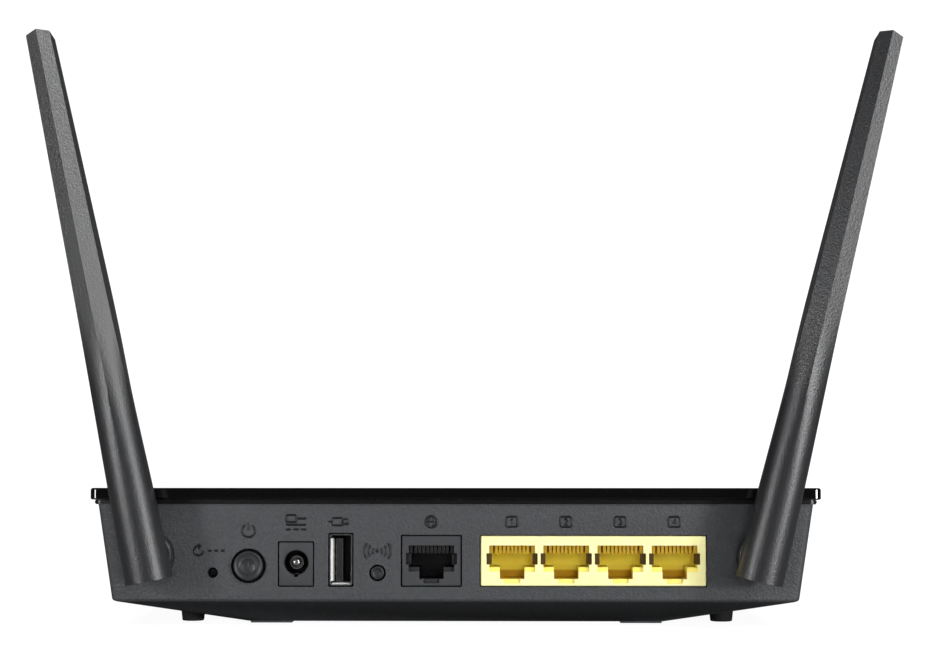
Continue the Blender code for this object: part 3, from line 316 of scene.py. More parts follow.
def close_tree(tree, geometry, given, out):
    """Ends a tree: instances are made real and the material is set."""
    real = put(tree, "GeometryNodeRealizeInstances", {"Geometry": geometry}).outputs["Geometry"]
    coated = put(tree, "GeometryNodeSetMaterial", {"Geometry": real, "Material": given["Material"]})
    tree.links.new(coated.outputs["Geometry"], out["Geometry"])
    return tree


def applied(piece):
    """The plain mesh of an object with its modifiers."""
    return bpy.data.meshes.new_from_object(piece.evaluated_get(bpy.context.evaluated_depsgraph_get()))


def grown(tree, source, inputs):
    """The plain mesh that a tree makes of a source mesh."""
    seed = in_scene("seed", source)
    made = seed.modifiers.new("tree", "NODES")
    made.node_group = tree
    labels = {item.name: item.identifier for item in tree.interface.items_tree if item.in_out == "INPUT"}
    for label, value in inputs.items():
        made[labels[label]] = value
    mesh = applied(seed)
    bpy.data.objects.remove(seed, do_unlink=True)
    return mesh


def piece_of(name, mesh, body, replaced=()):
    """Puts a finished mesh in the scene as a piece of a body."""
    mesh.name = name
    made = in_scene(name, mesh)
    belongs(made, body, replaced)
    return made


def lines_mesh(name, lines):
    """A mesh of bare edges from lists of points."""
    made = bmesh.new()
    for points in lines:
        closed = len(points) > 2 and (Vector(points[0]) - Vector(points[-1])).length < 1e-7
        verts = [made.verts.new(p) for p in (points[:-1] if closed else points)]
        for a, b in zip(verts, verts[1:] + verts[:1] if closed else verts[1:]):
            made.edges.new((a, b))
    return plain_mesh(made, name)


def wire_along(tree, path, section):
    """A smooth round wire, closed at its ends, along a curve."""
    swept = put(tree, "GeometryNodeCurveToMesh", {"Curve": path, "Profile Curve": section, "Fill Caps": True})
    return put(tree, "GeometryNodeSetShadeSmooth", {"Geometry": swept.outputs["Mesh"]}).outputs["Geometry"]


def build_bead_tree():
    """A round bead along every line of the source."""
    sockets = [("Radius", "NodeSocketFloat"), ("Sides", "NodeSocketInt"), ("Material", "NodeSocketMaterial")]
    tree, given, out = geometry_tree("bead_along_lines", sockets)
    path = put(tree, "GeometryNodeMeshToCurve", {"Mesh": given["Geometry"]}).outputs["Curve"]
    circle = {"Resolution": given["Sides"], "Radius": given["Radius"]}
    section = put(tree, "GeometryNodeCurvePrimitiveCircle", circle).outputs["Curve"]
    return close_tree(tree, wire_along(tree, path, section), given, out)


def ring(x, z, radius, start=0, end=360, steps=28):
    """Points on an arc in the panel's plane, angles in degrees from +X."""
    angles = [math.radians(start + (end - start) * i / steps) for i in range(steps + 1)]
    return [(x + radius * math.cos(a), z + radius * math.sin(a)) for a in angles]


def rounded_frame(x, z, width, height, radius):
    """A rectangle with round corners, as a closed line."""
    points = []
    for i, (sx, sz) in enumerate(((1, 1), (-1, 1), (-1, -1), (1, -1))):
        cx, cz = x + sx * (width / 2 - radius), z + sz * (height / 2 - radius)
        points += ring(cx, cz, radius, 90 * i, 90 * i + 90, 4)
    return points + points[:1]


def digit(number, x, z, height):
    """A plain figure drawn with straight and round strokes."""
    w, h = height * 0.27, height / 2
    if number == 1:
        return [[(x - w * 0.5, z + h * 0.65), (x + w * 0.1, z + h), (x + w * 0.1, z - h)]]
    if number == 2:
        top = ring(x, z + h * 0.5, h * 0.5, 165, -30, 8)
        return [top + [(x - w, z - h), (x + w, z - h)]]
    if number == 3:
        return [ring(x, z + h * 0.5, h * 0.5, 150, -80, 8), ring(x, z - h * 0.5, h * 0.5, 80, -150, 8)]
    return [[(x + w * 0.5, z - h), (x + w * 0.5, z + h), (x - w * 1.1, z - h * 0.3), (x + w * 1.2, z - h * 0.3)]]


def corners(node):
    """The low and high corners of a node's box."""
    return [Vector(corner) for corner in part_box(node)]


def middle(node):
    """The middle of a node's box."""
    low, high = corners(node)
    return (low + high) / 2


def dash(x, z, length):
    """A short level line, from its middle."""
    return [(x - length / 2, z), (x + length / 2, z)]


panel_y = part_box("bottom_case")[0][1]
LABEL_Z, KEY_LABEL_Z = 0.0271, 0.0196  # the marks over the sockets, and those over the two small keys
POWER_Z, BARS_Z, PLUG_Z = 0.0248, 0.0263, 0.0279  # the power mark, the supply's bars and its plug
power, dc, usb = middle("power_button"), middle("dc_jack"), middle("usb_jack_sleeve")
pairing, reset, wan = middle("pairing_button"), middle("reset_plunger"), middle("wan_jack")
marks = [ring(power.x, POWER_Z, 0.0017, 125, 415), [(power.x, POWER_Z), (power.x, POWER_Z + 0.0020)]]
marks += [dash(dc.x, BARS_Z, 0.0052)] + [dash(dc.x + s * 0.0020, BARS_Z - 0.0012, 0.0012) for s in (-1, 0, 1)]
marks += [rounded_frame(dc.x - 0.0012, PLUG_Z, 0.0026, 0.0018, 0.0004), dash(dc.x + 0.00135, PLUG_Z, 0.0025)]
marks += [rounded_frame(usb.x - 0.0008, LABEL_Z, 0.0026, 0.0019, 0.0003)]
marks += [rounded_frame(usb.x + 0.0012, LABEL_Z, 0.0014, 0.0012, 0.0001), dash(usb.x - 0.0026, LABEL_Z, 0.0010)]
for radius in (0.0012, 0.0023, 0.0034):
    marks += [ring(pairing.x, KEY_LABEL_Z, radius, turn - 36, turn + 36, 8) for turn in (0, 180)]
marks += [ring(pairing.x, KEY_LABEL_Z, 0.00025, steps=8)]
arrow_x = reset.x - 0.0036
arrow_head = [(arrow_x, 0.0214), (arrow_x + 0.0008, 0.0208), (arrow_x, 0.0201)]
marks += [ring(arrow_x, KEY_LABEL_Z, 0.0012, 60, 360), arrow_head]
marks += [dash(reset.x - 0.00075 + 0.0017 * i, KEY_LABEL_Z, 0.0009) for i in range(3)]
GLOBE, GLOBE_WAIST = 0.0015, 0.0007
marks += [ring(wan.x, LABEL_Z, GLOBE), dash(wan.x, LABEL_Z, 2 * GLOBE)]
turns = [math.radians(a) for a in range(-90, 91, 20)]
marks += [[(wan.x + s * GLOBE_WAIST * math.cos(a), LABEL_Z + GLOBE * math.sin(a)) for a in turns] for s in (-1, 1)]
for i in (1, 2, 3, 4):
    x = middle(f"lan_contacts_{i}").x
    marks += [rounded_frame(x, LABEL_Z, 0.0029, 0.0026, 0.0005)] + digit(i, x, LABEL_Z, 0.0014)

mark_plastic = moulded_plastic("mark_plastic", (0.010, 0.010, 0.012), 0.34, 0.0008, 0.00001, speckle=0.1, worn=0.0)
mark_lines = lines_mesh("mark_lines", [[(x, panel_y + MARK_SINK, z) for x, z in line] for line in marks])
sizes = {"Radius": MARK_RADIUS, "Sides": 8, "Material": mark_plastic}
piece_of("panel_marks", grown(build_bead_tree(), mark_lines, sizes), "housing")

# ================================================================ feet
# Four black rubber feet stand in the corners of the underside. Each is a short cone, pressed into the case, and its
# face is dulled by the table.
rubber_black, tree, shader = finish("rubber_black", specular=0.35)
drift = {"clouds": 0.2, "speckle": 0.5, "cloud_size": 0.004}
_, height = grained(tree, shader, (0.014, 0.014, 0.014), 0.0005, 0.82, 0.15, **drift)
bump(tree, shader, height, 0.5, 0.00004)
for place in ("rear_left", "rear_right", "front_left", "front_right"):
    dressed(f"{place}_foot", f"{place}_rubber", "housing", rubber_black, edge=0.0003)

# ================================================================ screws
# Zinc-plated steel pan-head screws with a cross recess: four go up through the underside into the top frame, two
# hold the board down. The turning of the driver leaves fine rings and bright edges on the heads.


def metal(name, colour, roughness, brush=0.0, tarnish=0.15):
    """Bare or plated metal: a tone that wanders, fine scratches and a little tarnish in the roughness."""
    made, tree, shader = finish(name, metallic=1.0)
    grained(tree, shader, colour, 0.0006, roughness, tarnish, clouds=tarnish, speckle=0.15, cloud_size=0.006)
    drawn = put(tree, "ShaderNodeMapping", {"Vector": object_place(tree), "Scale": (1.0, 1.0 - 0.95 * brush, 1.0)})
    bump(tree, shader, noise(tree, drawn.outputs[0], 4000.0, 2.0), 0.15 + 0.25 * brush, 0.00002)
    return made


zinc = metal("zinc_plate", (0.50, 0.50, 0.52), 0.34)
for screw in [f"case_screw_{i}" for i in (1, 2, 3, 4)] + ["board_screw_1", "board_screw_2"]:
    dressed(screw, f"{screw}_zinc", "housing", zinc, edge=0.0001)

# ================================================================ circuit board
# A two-sided board in green solder mask, held by two screws. The chips and shield cans are soldered to its top; the
# finned aluminium block over the processor is stuck on with a thermal pad.


def paint(material, *painted):
    """Gives CAD nodes a finished material and keeps their shapes."""
    for node in painted:
        nodes[node].data.materials.clear()
        nodes[node].data.materials.append(material)


solder_mask, tree, shader = finish("solder_mask", coat=0.5, coat_roughness=0.2)
drift = {"clouds": 0.3, "speckle": 0.4, "cloud_size": 0.008}
_, height = grained(tree, shader, (0.010, 0.085, 0.035), 0.0012, 0.38, 0.1, **drift)
bump(tree, shader, height, 0.4, 0.00003)
paint(solder_mask, "main_board")
epoxy_black = moulded_plastic("epoxy_black", (0.016, 0.016, 0.018), 0.55, 0.0003, 0.00002)
paint(epoxy_black, "processor_chip", "memory_chip", "flash_chip", "wan_transformer", "lan_transformer")
paint(epoxy_black, "power_inductor", "light_strip", "power_switch", "pairing_switch", "reset_switch")
tin = metal("tin_plate", (0.66, 0.66, 0.65), 0.32, brush=0.4)
bare_aluminium = metal("bare_aluminium", (0.72, 0.73, 0.74), 0.36, brush=0.8)
paint(bare_aluminium, "heat_sink", "clock_crystal", "capacitor_1", "capacitor_2")
lead_jacket = moulded_plastic("lead_jacket", (0.02, 0.02, 0.022), 0.45, 0.0008, 0.00001)
gold_flash = metal("gold_flash", (0.83, 0.60, 0.25), 0.24)
strip_copper = metal("strip_copper", (0.78, 0.42, 0.27), 0.35, brush=0.5)
for side in ("left", "right"):
    paint(tin, f"{side}_shield_can", f"{side}_swivel_clip", f"{side}_hinge_pin")
    paint(lead_jacket, f"{side}_aerial_lead")
    paint(gold_flash, f"{side}_lead_plug")
    paint(strip_copper, f"{side}_antenna_element")

# ================================================================ network sockets
# The four ganged sockets are one block moulded in bright yellow nylon, and the single one is black. Inside each,
# eight gold-flashed springs run back and down from a comb, and two small ledges carry the plug's shoulders.
SOCKET_FLOOR, SOCKET_HEIGHT, SOCKET_HALF = 0.0037, 0.0067, 0.0059  # the opening, over the block's underside
SOCKET_DEPTH = 0.0125
COMB_DROP, COMB_START, COMB_DEPTH = 0.0021, 0.0013, 0.0024
TEETH, TOOTH_PITCH, TOOTH_WIDTH = 9, 0.00102, 0.00074
CHEEK_WIDTH = 0.00105  # between the comb's last slot and the socket's wall
LEDGE_INNER, LEDGE_HEIGHT, LEDGE_START = 0.0032, 0.0011, 0.0008
FOOT_HALF, FOOT_TOP, FOOT_DROP, FOOT_START = 0.00202, 0.0019, 0.0030, 0.0007
SIDE_SLOT_LOW, SIDE_SLOT_HIGH, SIDE_SLOT_INNER, SIDE_SLOT_OUTER = 0.0018, 0.0045, 0.0053, 0.0066
SIDE_SLOT_START, SIDE_SLOT_END = 0.0010, 0.0060
COMB_FOOT_HEIGHT = SOCKET_HEIGHT - COMB_DROP
jack_face, jack_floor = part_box("wan_jack")[0][1:]


def nylon(name, front, inside, pocket_shade, comb):
    """Dyed nylon for a socket; past its face the colour is painted shade, deeper gold inside and darker brown on
    the comb's teeth and by the latch.
    """
    made = moulded_plastic(name, front, 0.42, 0.0009, 0.00002, spread=0.08, worn=0.1, speckle=0.08)
    tree = made.node_tree
    shader = tree.nodes["Principled BSDF"]
    face_colour = shader.inputs["Base Color"].links[0].from_socket
    place = put(tree, "ShaderNodeSeparateXYZ", {"Vector": object_place(tree)}).outputs
    latch_top = jack_floor + SOCKET_FLOOR
    comb_foot = latch_top + COMB_FOOT_HEIGHT
    # Painted shade: past the socket's face the colour turns from the dye to the inside colour, and darker again by
    # the latch and on the comb's teeth.
    pocket_shade_mask = ramp(tree, place["Z"], latch_top + 0.0001, latch_top - 0.0004)
    above_foot = ramp(tree, place["Z"], latch_top - FOOT_TOP - 0.0001, latch_top - FOOT_TOP)
    comb_shade_mask = ramp(tree, place["Z"], comb_foot - 0.0004, comb_foot - 0.0002)
    hollow = blend_colours(tree, calc(tree, "MULTIPLY", pocket_shade_mask, above_foot), (*inside, 1), (*pocket_shade, 1))
    hollow = blend_colours(tree, comb_shade_mask, hollow, (*comb, 1))
    depth = ramp(tree, place["Y"], jack_face + 0.0001, jack_face + 0.0010)
    tree.links.new(blend_colours(tree, depth, face_colour, hollow), shader.inputs["Base Color"])
    return made, shader


# Each set is the face's own dye, then painted shade for the inside, by the latch and on the comb's teeth.
yellow_dye_and_shade = (0.96, 0.87, 0.43), (0.98, 0.77, 0.08), (0.62, 0.36, 0.02), (0.47, 0.29, 0.02)
yellow_nylon, shader = nylon("yellow_nylon", *yellow_dye_and_shade)
shader.inputs["Subsurface Weight"].default_value = 0.35
shader.inputs["Subsurface Radius"].default_value = (1.0, 0.7, 0.1)
shader.inputs["Subsurface Scale"].default_value = 0.003
black_dye_and_shade = (0.045, 0.046, 0.050), (0.009, 0.009, 0.010), (0.006, 0.006, 0.007), (0.010, 0.010, 0.011)
black_nylon, _ = nylon("black_nylon", *black_dye_and_shade)
# Painted shade: a dark brown stands for the shade in the yellow sockets' side slots.
side_slot_shade = moulded_plastic("side_slot_shade", (0.055, 0.030, 0.004), 0.6, 0.0009, 0.00002)


def slab(mesh_builder, low, high, edge=0.00008):
    """A box between two corners with its edges rounded."""
    new = bmesh.ops.create_cube(mesh_builder, size=1.0)["verts"]
    for v in new:
        v.co = Vector([low[k] + (v.co[k] + 0.5) * (high[k] - low[k]) for k in range(3)])
    edges = {e for v in new for e in v.link_edges}
    bmesh.ops.bevel(mesh_builder, geom=list(edges), offset=edge, segments=2, profile=0.5, affect="EDGES")


def mesh_from(mesh_builder, name, material=None, sharp=40):
    """Turns a bmesh into a mesh with smooth round faces and sharp corners."""
    bmesh.ops.recalc_face_normals(mesh_builder, faces=mesh_builder.faces)
    mesh = plain_mesh(mesh_builder, name)
    shade(mesh, sharp)
    if material:
        mesh.materials.append(material)
    return mesh


def build_row_tree():
    """A shape repeated in a row along X, centred on where it stands."""
    sockets = [("Count", "NodeSocketInt"), ("Pitch", "NodeSocketFloat"), ("Material", "NodeSocketMaterial")]
    tree, given, out = geometry_tree("row_along_x", sockets)
    step = put(tree, "ShaderNodeCombineXYZ", {"X": given["Pitch"]}).outputs[0]
    reach = calc(tree, "MULTIPLY", calc(tree, "SUBTRACT", given["Count"], 1.0), given["Pitch"])
    start = put(tree, "ShaderNodeCombineXYZ", {"X": calc(tree, "MULTIPLY", reach, -0.5)}).outputs[0]
    places = {"Count": given["Count"], "Start Location": start, "Offset": step}
    row = put(tree, "GeometryNodeMeshLine", places, mode="OFFSET").outputs["Mesh"]
    copies = put(tree, "GeometryNodeInstanceOnPoints", {"Points": row, "Instance": given["Geometry"]})
    return close_tree(tree, copies.outputs["Instances"], given, out)


def build_wire_tree():
    """A round wire along a bent path, its bends eased, repeated in a row along X."""
    sockets = [("Count", "NodeSocketInt"), ("Pitch", "NodeSocketFloat"), ("Wire Radius", "NodeSocketFloat")]
    sockets += [("Bend Radius", "NodeSocketFloat"), ("Material", "NodeSocketMaterial")]
    tree, given, out = geometry_tree("row_of_wires", sockets)
    path = put(tree, "GeometryNodeMeshToCurve", {"Mesh": given["Geometry"]}).outputs["Curve"]
    eased = put(tree, "GeometryNodeFilletCurve", {"Curve": path, "Radius": given["Bend Radius"]}, mode="POLY")
    eased.inputs["Count"].default_value = 4
    section = put(tree, "GeometryNodeCurvePrimitiveCircle", {"Resolution": 8, "Radius": given["Wire Radius"]})
    wire = wire_along(tree, eased.outputs["Curve"], section.outputs["Curve"])
    row = put(tree, "GeometryNodeGroup", node_tree=ROW_TREE)
    feed(tree, row.inputs["Geometry"], wire)
    for label in ("Count", "Pitch", "Material"):
        feed(tree, row.inputs[label], given[label])
    tree.links.new(row.outputs["Geometry"], out["Geometry"])
    return tree


ROW_TREE = build_row_tree()
WIRE_TREE = build_wire_tree()
WIRE_RADIUS, BEND_RADIUS = 0.00019, 0.0004
SINK = 0.0001  # how far a fitting goes into the wall that carries it
dressed("lan_jack_block", "lan_jack_nylon", "housing", yellow_nylon, edge=0.00015)
dressed("wan_jack", "wan_jack_nylon", "housing", black_nylon, edge=0.00015)
opening_floor = jack_floor + SOCKET_FLOOR
opening_top = opening_floor + SOCKET_HEIGHT
comb_low, comb_high = opening_top - COMB_DROP, opening_top + 2 * SINK
comb_front, comb_back = jack_face + COMB_START, jack_face + COMB_START + COMB_DEPTH
socket_back = jack_face + SOCKET_DEPTH
for node in ("wan_contacts", "lan_contacts_1", "lan_contacts_2", "lan_contacts_3", "lan_contacts_4"):
    single = node == "wan_contacts"
    material, slot = (black_nylon, "jack_black") if single else (yellow_nylon, "jack_yellow")
    x, far = middle(node).x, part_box(node)[1][1]

    tooth = bmesh.new()
    slab(tooth, (x - TOOTH_WIDTH / 2, comb_front, comb_low), (x + TOOTH_WIDTH / 2, comb_back, comb_high))
    sizes = {"Count": TEETH, "Pitch": TOOTH_PITCH, "Material": material}
    piece_of(f"{node}_comb", grown(ROW_TREE, mesh_from(tooth, "tooth"), sizes), "housing")

    fittings, side_springs = bmesh.new(), bmesh.new()
    for side in (-1, 1):
        wall = x + side * (SOCKET_HALF + SINK)
        x0, x1 = sorted((wall, wall - side * CHEEK_WIDTH))
        slab(fittings, (x0, comb_front, comb_low), (x1, comb_back, comb_high))
        x0, x1 = sorted((wall, x + side * LEDGE_INNER))
        low = (x0, jack_face + LEDGE_START, opening_floor - SINK)
        slab(fittings, low, (x1, socket_back, opening_floor + LEDGE_HEIGHT))
        x0, x1 = sorted((x + side * SIDE_SLOT_INNER, x + side * SIDE_SLOT_OUTER))
        low = (x0, jack_face + SIDE_SLOT_START, opening_floor + SIDE_SLOT_LOW)
        slab(side_springs, low, (x1, jack_face + SIDE_SLOT_END, opening_floor + SIDE_SLOT_HIGH))
    low = (x - FOOT_HALF, jack_face + FOOT_START, opening_floor - FOOT_DROP)
    slab(fittings, low, (x + FOOT_HALF, socket_back, opening_floor - FOOT_TOP))
    piece_of(f"{node}_fittings", mesh_from(fittings, "fittings", material), "housing")
    # The side slots' blocks carry painted shade: dark brown in the yellow sockets, the shaded black nylon in the
    # single one.
    slot_shade_plastic = black_nylon if single else side_slot_shade
    piece_of(f"{node}_side_springs", mesh_from(side_springs, "side_springs", slot_shade_plastic), "housing")

    start, root, dip = comb_back + 0.0003, opening_top - 0.0004, opening_top - 0.0017
    path = [(start, dip + 0.0003), (start, root), (start + 0.0012, root), (far - 0.0016, dip), (far - 0.0003, dip)]
    springs = lines_mesh("spring", [[(x, y, z) for y, z in path]])
    sizes = {"Count": 8, "Pitch": TOOTH_PITCH, "Wire Radius": WIRE_RADIUS, "Bend Radius": BEND_RADIUS}
    sizes["Material"] = gold_flash
    piece_of(f"{node}_springs", grown(WIRE_TREE, springs, sizes), "housing", [node])

# ================================================================ power socket
# The power inlet is a black nylon block with a round bore. Its plated steel pin stands in a plated ring, and a flat
# plated spring lies along the bottom of the bore, in a slot moulded for it.


def spun(profile, place, sides=64):
    """A bmesh turned about a line along Y through a place, from a closed profile of (radius, along Y) points."""
    made = bmesh.new()
    verts = [made.verts.new((r, a, 0)) for r, a in profile]
    edges = [made.edges.new((verts[i], verts[(i + 1) % len(verts)])) for i in range(len(verts))]
    turn = {"cent": (0, 0, 0), "axis": (0, 1, 0), "angle": math.tau, "use_merge": True}
    bmesh.ops.spin(made, geom=verts + edges, steps=sides, **turn)
    bmesh.ops.remove_doubles(made, verts=made.verts, dist=1e-7)
    bmesh.ops.translate(made, vec=place, verts=made.verts)
    return made


def carved(name, blank, cutters, material, sharp=32, edge=0.00012):
    """A mesh cut by others, exactly, with its sharp edges broken."""
    if isinstance(blank, bmesh.types.BMesh):
        blank = mesh_from(blank, name, material, sharp)
    else:
        shade(blank, sharp)
    piece = in_scene(name, blank)
    helpers = [in_scene("cutter", mesh_from(cutter, "cutter")) for cutter in cutters]
    for helper in helpers:
        cut = piece.modifiers.new("cut", "BOOLEAN")
        cut.operation, cut.solver, cut.object = "DIFFERENCE", "EXACT", helper
    break_edges(piece, edge, 2, sharp)
    mesh = applied(piece)
    for used in [piece] + helpers:
        bpy.data.objects.remove(used, do_unlink=True)
    return mesh


BORE, BORE_DEPTH, BORE_LEAD, RING_RADIUS, PIN_RADIUS, RING_HOLE = 0.0031, 0.0110, 0.0003, 0.0019, 0.0010, 0.0014
KEYWAY_HALF, KEYWAY_END, SPRING_HALF, SPRING_START, SPRING_END = 0.0005, 0.0090, 0.0008, 0.0030, 0.0100
low, high = corners("dc_jack")
blank, keyway, spring = bmesh.new(), bmesh.new(), bmesh.new()
slab(blank, low, high, 0.0002)
bore_x, face, bore_z = (low.x + high.x) / 2, low.y, middle("dc_jack_pin").z
centre, bore_foot = (bore_x, face, bore_z), bore_z - BORE
lead = [(0, -0.001), (BORE + BORE_LEAD, -0.001), (BORE + BORE_LEAD, 0.0), (BORE, 0.0004)]
bore = spun(lead + [(BORE, BORE_DEPTH), (0, BORE_DEPTH)], centre)
keyway_low = (bore_x - KEYWAY_HALF, face - 0.001, bore_foot - 0.0006)
slab(keyway, keyway_low, (bore_x + KEYWAY_HALF, face + KEYWAY_END, bore_foot + 0.0008), 0.0001)
inlet = carved("power_inlet", blank, [bore, keyway], black_nylon)
piece_of("power_inlet", inlet, "housing", ["dc_jack"])
lip = [(RING_HOLE, 0.0027), (0.0015, 0.0025), (0.0017, 0.0025), (RING_RADIUS, 0.0028)]
inside = [(RING_RADIUS, BORE_DEPTH), (PIN_RADIUS, BORE_DEPTH), (PIN_RADIUS, 0.0050), (RING_HOLE, 0.0050)]
piece_of("power_inlet_collar", mesh_from(spun(lip + inside, centre), "collar", tin), "housing")
turns = [math.radians(a) for a in range(0, 91, 15)]
tip = [(0.0, 0.0013), (0.00025, 0.0013), (0.00030, 0.0010)]
tip += [(0.00035 + 0.00065 * math.sin(a), 0.0015 - 0.0006 * math.cos(a)) for a in turns]
pin = spun(tip + [(PIN_RADIUS, BORE_DEPTH), (0, BORE_DEPTH)], centre, 40)
piece_of("power_inlet_pin", mesh_from(pin, "pin", tin), "housing", ["dc_jack_pin"])
spring_low = (bore_x - SPRING_HALF, face + SPRING_START, bore_foot)
slab(spring, spring_low, (bore_x + SPRING_HALF, face + SPRING_END, bore_foot + 0.00025))
piece_of("power_inlet_spring", mesh_from(spring, "spring", tin), "housing")

# ================================================================ USB socket
# A drawn tin-plated sleeve stands on edge round a black tongue, which carries four gold strips along one side.
# Bright spring leaves, bent in from the sheet, line the sleeve's mouth along its side and its bottom.
STRIP_PITCH, STRIP_WIDTH, STRIP_START, STRIP_END = 0.0022, 0.0010, 0.0010, 0.0085
STRIP_FACE, STRIP_BACK = 0.00105, 0.00085  # from the tongue's middle
LEAF_THICKNESS, LEAF_DEPTH, LEAF_RISE, LEAF_START, SLEEVE_SHEET = 0.00022, 0.0024, 0.00085, 0.0002, 0.0002
bright_tin = metal("bright_tin", (0.97, 0.97, 0.96), 0.34, brush=0.5, tarnish=0.06)
bright_tin.node_tree.nodes["Principled BSDF"].inputs["Metallic"].default_value = 0.15
sleeve_tin = metal("sleeve_tin", (0.30, 0.30, 0.31), 0.34, brush=0.5, tarnish=0.2)
dressed("usb_jack_sleeve", "usb_sleeve", "housing", sleeve_tin)
low, high = corners("usb_jack_sleeve")
sleeve_middle = (low + high) / 2
leaf_y = low.y + LEAF_START
upright = ((high.z - low.z) / 2 - 0.0012, LEAF_RISE, 0.0, (low.x + SLEEVE_SHEET, leaf_y, sleeve_middle.z))
leaf_place = (sleeve_middle.x, leaf_y, low.z + SLEEVE_SHEET)
level = ((high.x - low.x) / 2 - 0.0006, LEAF_RISE * 0.6, -math.pi / 2, leaf_place)
leaves = bmesh.new()
for long_half, rise, turn, place in (upright, level):
    start = len(leaves.verts)
    slab(leaves, (0, 0, -long_half), (LEAF_THICKNESS, LEAF_DEPTH, long_half), 0.00005)
    leaves.verts.ensure_lookup_table()
    new = leaves.verts[start:]
    for v in new:
        v.co.x += rise * v.co.y / LEAF_DEPTH
    bmesh.ops.rotate(leaves, verts=new, cent=(0, 0, 0), matrix=Matrix.Rotation(turn, 3, "Y"))
    bmesh.ops.translate(leaves, vec=place, verts=new)
piece_of("usb_leaves", mesh_from(leaves, "leaves", bright_tin), "housing")
dressed("usb_jack_tongue", "usb_tongue", "housing", black_nylon, edge=0.00015)
low, high = corners("usb_jack_tongue")
tongue_x = sleeve_middle.x - 0.0004
strip = bmesh.new()
strip_low = (tongue_x - STRIP_FACE, low.y + STRIP_START, -STRIP_WIDTH / 2)
slab(strip, strip_low, (tongue_x - STRIP_BACK, low.y + STRIP_END, STRIP_WIDTH / 2), 0.00004)
bmesh.ops.rotate(strip, verts=strip.verts, cent=(0, 0, 0), matrix=Matrix.Rotation(math.pi / 2, 3, "Y"))
sizes = {"Count": 4, "Pitch": STRIP_PITCH, "Material": gold_flash}
strips = grown(ROW_TREE, mesh_from(strip, "strip"), sizes)
strips.transform(Matrix.Translation((0, 0, (low.z + high.z) / 2)) @ Matrix.Rotation(-math.pi / 2, 4, "Y"))
piece_of("usb_strips", strips, "housing")

# ================================================================ buttons
# The two buttons are moulded like the case, in the same grained plastic. Each stands in a round hole with a narrow
# gap; a flange behind the wall keeps it in, and its stem works the switch on the board. The power button has a
# raised ring round an upright bar, to be found by touch.
key_plastic = moulded_plastic("key_plastic", (0.021, 0.022, 0.024), 0.40, 0.0005, 0.00006, worn=1.0, speckle=0.6)
tree = key_plastic.node_tree
base = tree.nodes["Principled BSDF"].inputs["Base Color"]
# Painted shade: the cap's side goes nearly black deeper in its hole, for the shade in the gap round the key.
depth = put(tree, "ShaderNodeSeparateXYZ", {"Vector": object_place(tree)}).outputs["Y"]
gap_shade = ramp(tree, depth, panel_y + 0.0003, panel_y + 0.0012)
tree.links.new(blend_colours(tree, gap_shade, base.links[0].from_socket, (0.004, 0.004, 0.004, 1)), base)
WALL_BACK, FLANGE_THICKNESS, FLANGE_REACH, CAP_EASE = 0.0023, 0.0010, 0.0007, 0.00010  # behind the panel's face


def key_cap(node, name, body, face_profile, hole_gap, stem, extra=None):
    """A turned button from its face's profile, with the flange and stem that the CAD button has."""
    low, high = corners(node)
    radius = (high.x - low.x) / 2 - hole_gap - FLANGE_REACH - CAP_EASE
    centre = ((low.x + high.x) / 2, low.y, (low.z + high.z) / 2)
    wall_back, flange = panel_y + WALL_BACK - low.y, (high.x - low.x) / 2
    flange_back, end = wall_back + FLANGE_THICKNESS, high.y - low.y
    profile = [(radius - inset, depth) for inset, depth in face_profile(radius)]
    profile += [(radius, wall_back), (flange - 0.0001, wall_back), (flange, wall_back + 0.0001)]
    made = spun(profile + [(flange, flange_back), (stem, flange_back), (stem, end), (0, end)], centre)
    if extra:
        extra(made, centre)
    piece_of(name, mesh_from(made, name, key_plastic, 50), body, [node])


def power_face(radius):
    """Dished face, a raised ring, and a rolled rim: (inset from the cap's radius, depth) from the middle out."""
    middle_dish = [(radius, 0.00030), (radius - 0.0017, 0.00030)]
    raised_ring = [(radius - 0.0019, 0.00014), (radius - 0.0021, 0.00012), (radius - 0.0023, 0.00028)]
    outer_dish = [(0.0010, 0.00030), (0.0007, 0.00022)]
    rim = [(0.00045, 0.00002), (0.00035, 0.0), (0.00018, 0.00006), (0.00006, 0.00020), (0.0, 0.00042)]
    return middle_dish + raised_ring + outer_dish + rim


def touch_bar(made, centre):
    """The upright bar in the middle of the power button."""
    x, y, z = centre
    slab(made, (x - 0.00022, y + 0.00010, z - 0.00085), (x + 0.00022, y + 0.00060, z + 0.00085), 0.00010)


def pairing_face(radius):
    """A small cup with a rolled rim."""
    cup = [(radius, 0.00042), (radius - 0.0009, 0.00040), (radius - 0.0012, 0.00026)]
    return cup + [(0.00040, 0.00003), (0.00028, 0.0), (0.00010, 0.00006), (0.0, 0.00024)]


key_cap("power_button", "power_key_cap", "power_key", power_face, 0.00065, 0.0016, touch_bar)
key_cap("pairing_button", "pairing_key_cap", "pairing_key", pairing_face, 0.0004, 0.0009)
dressed("reset_plunger", "reset_key_tip", "reset_key", black_nylon, edge=0.0001)

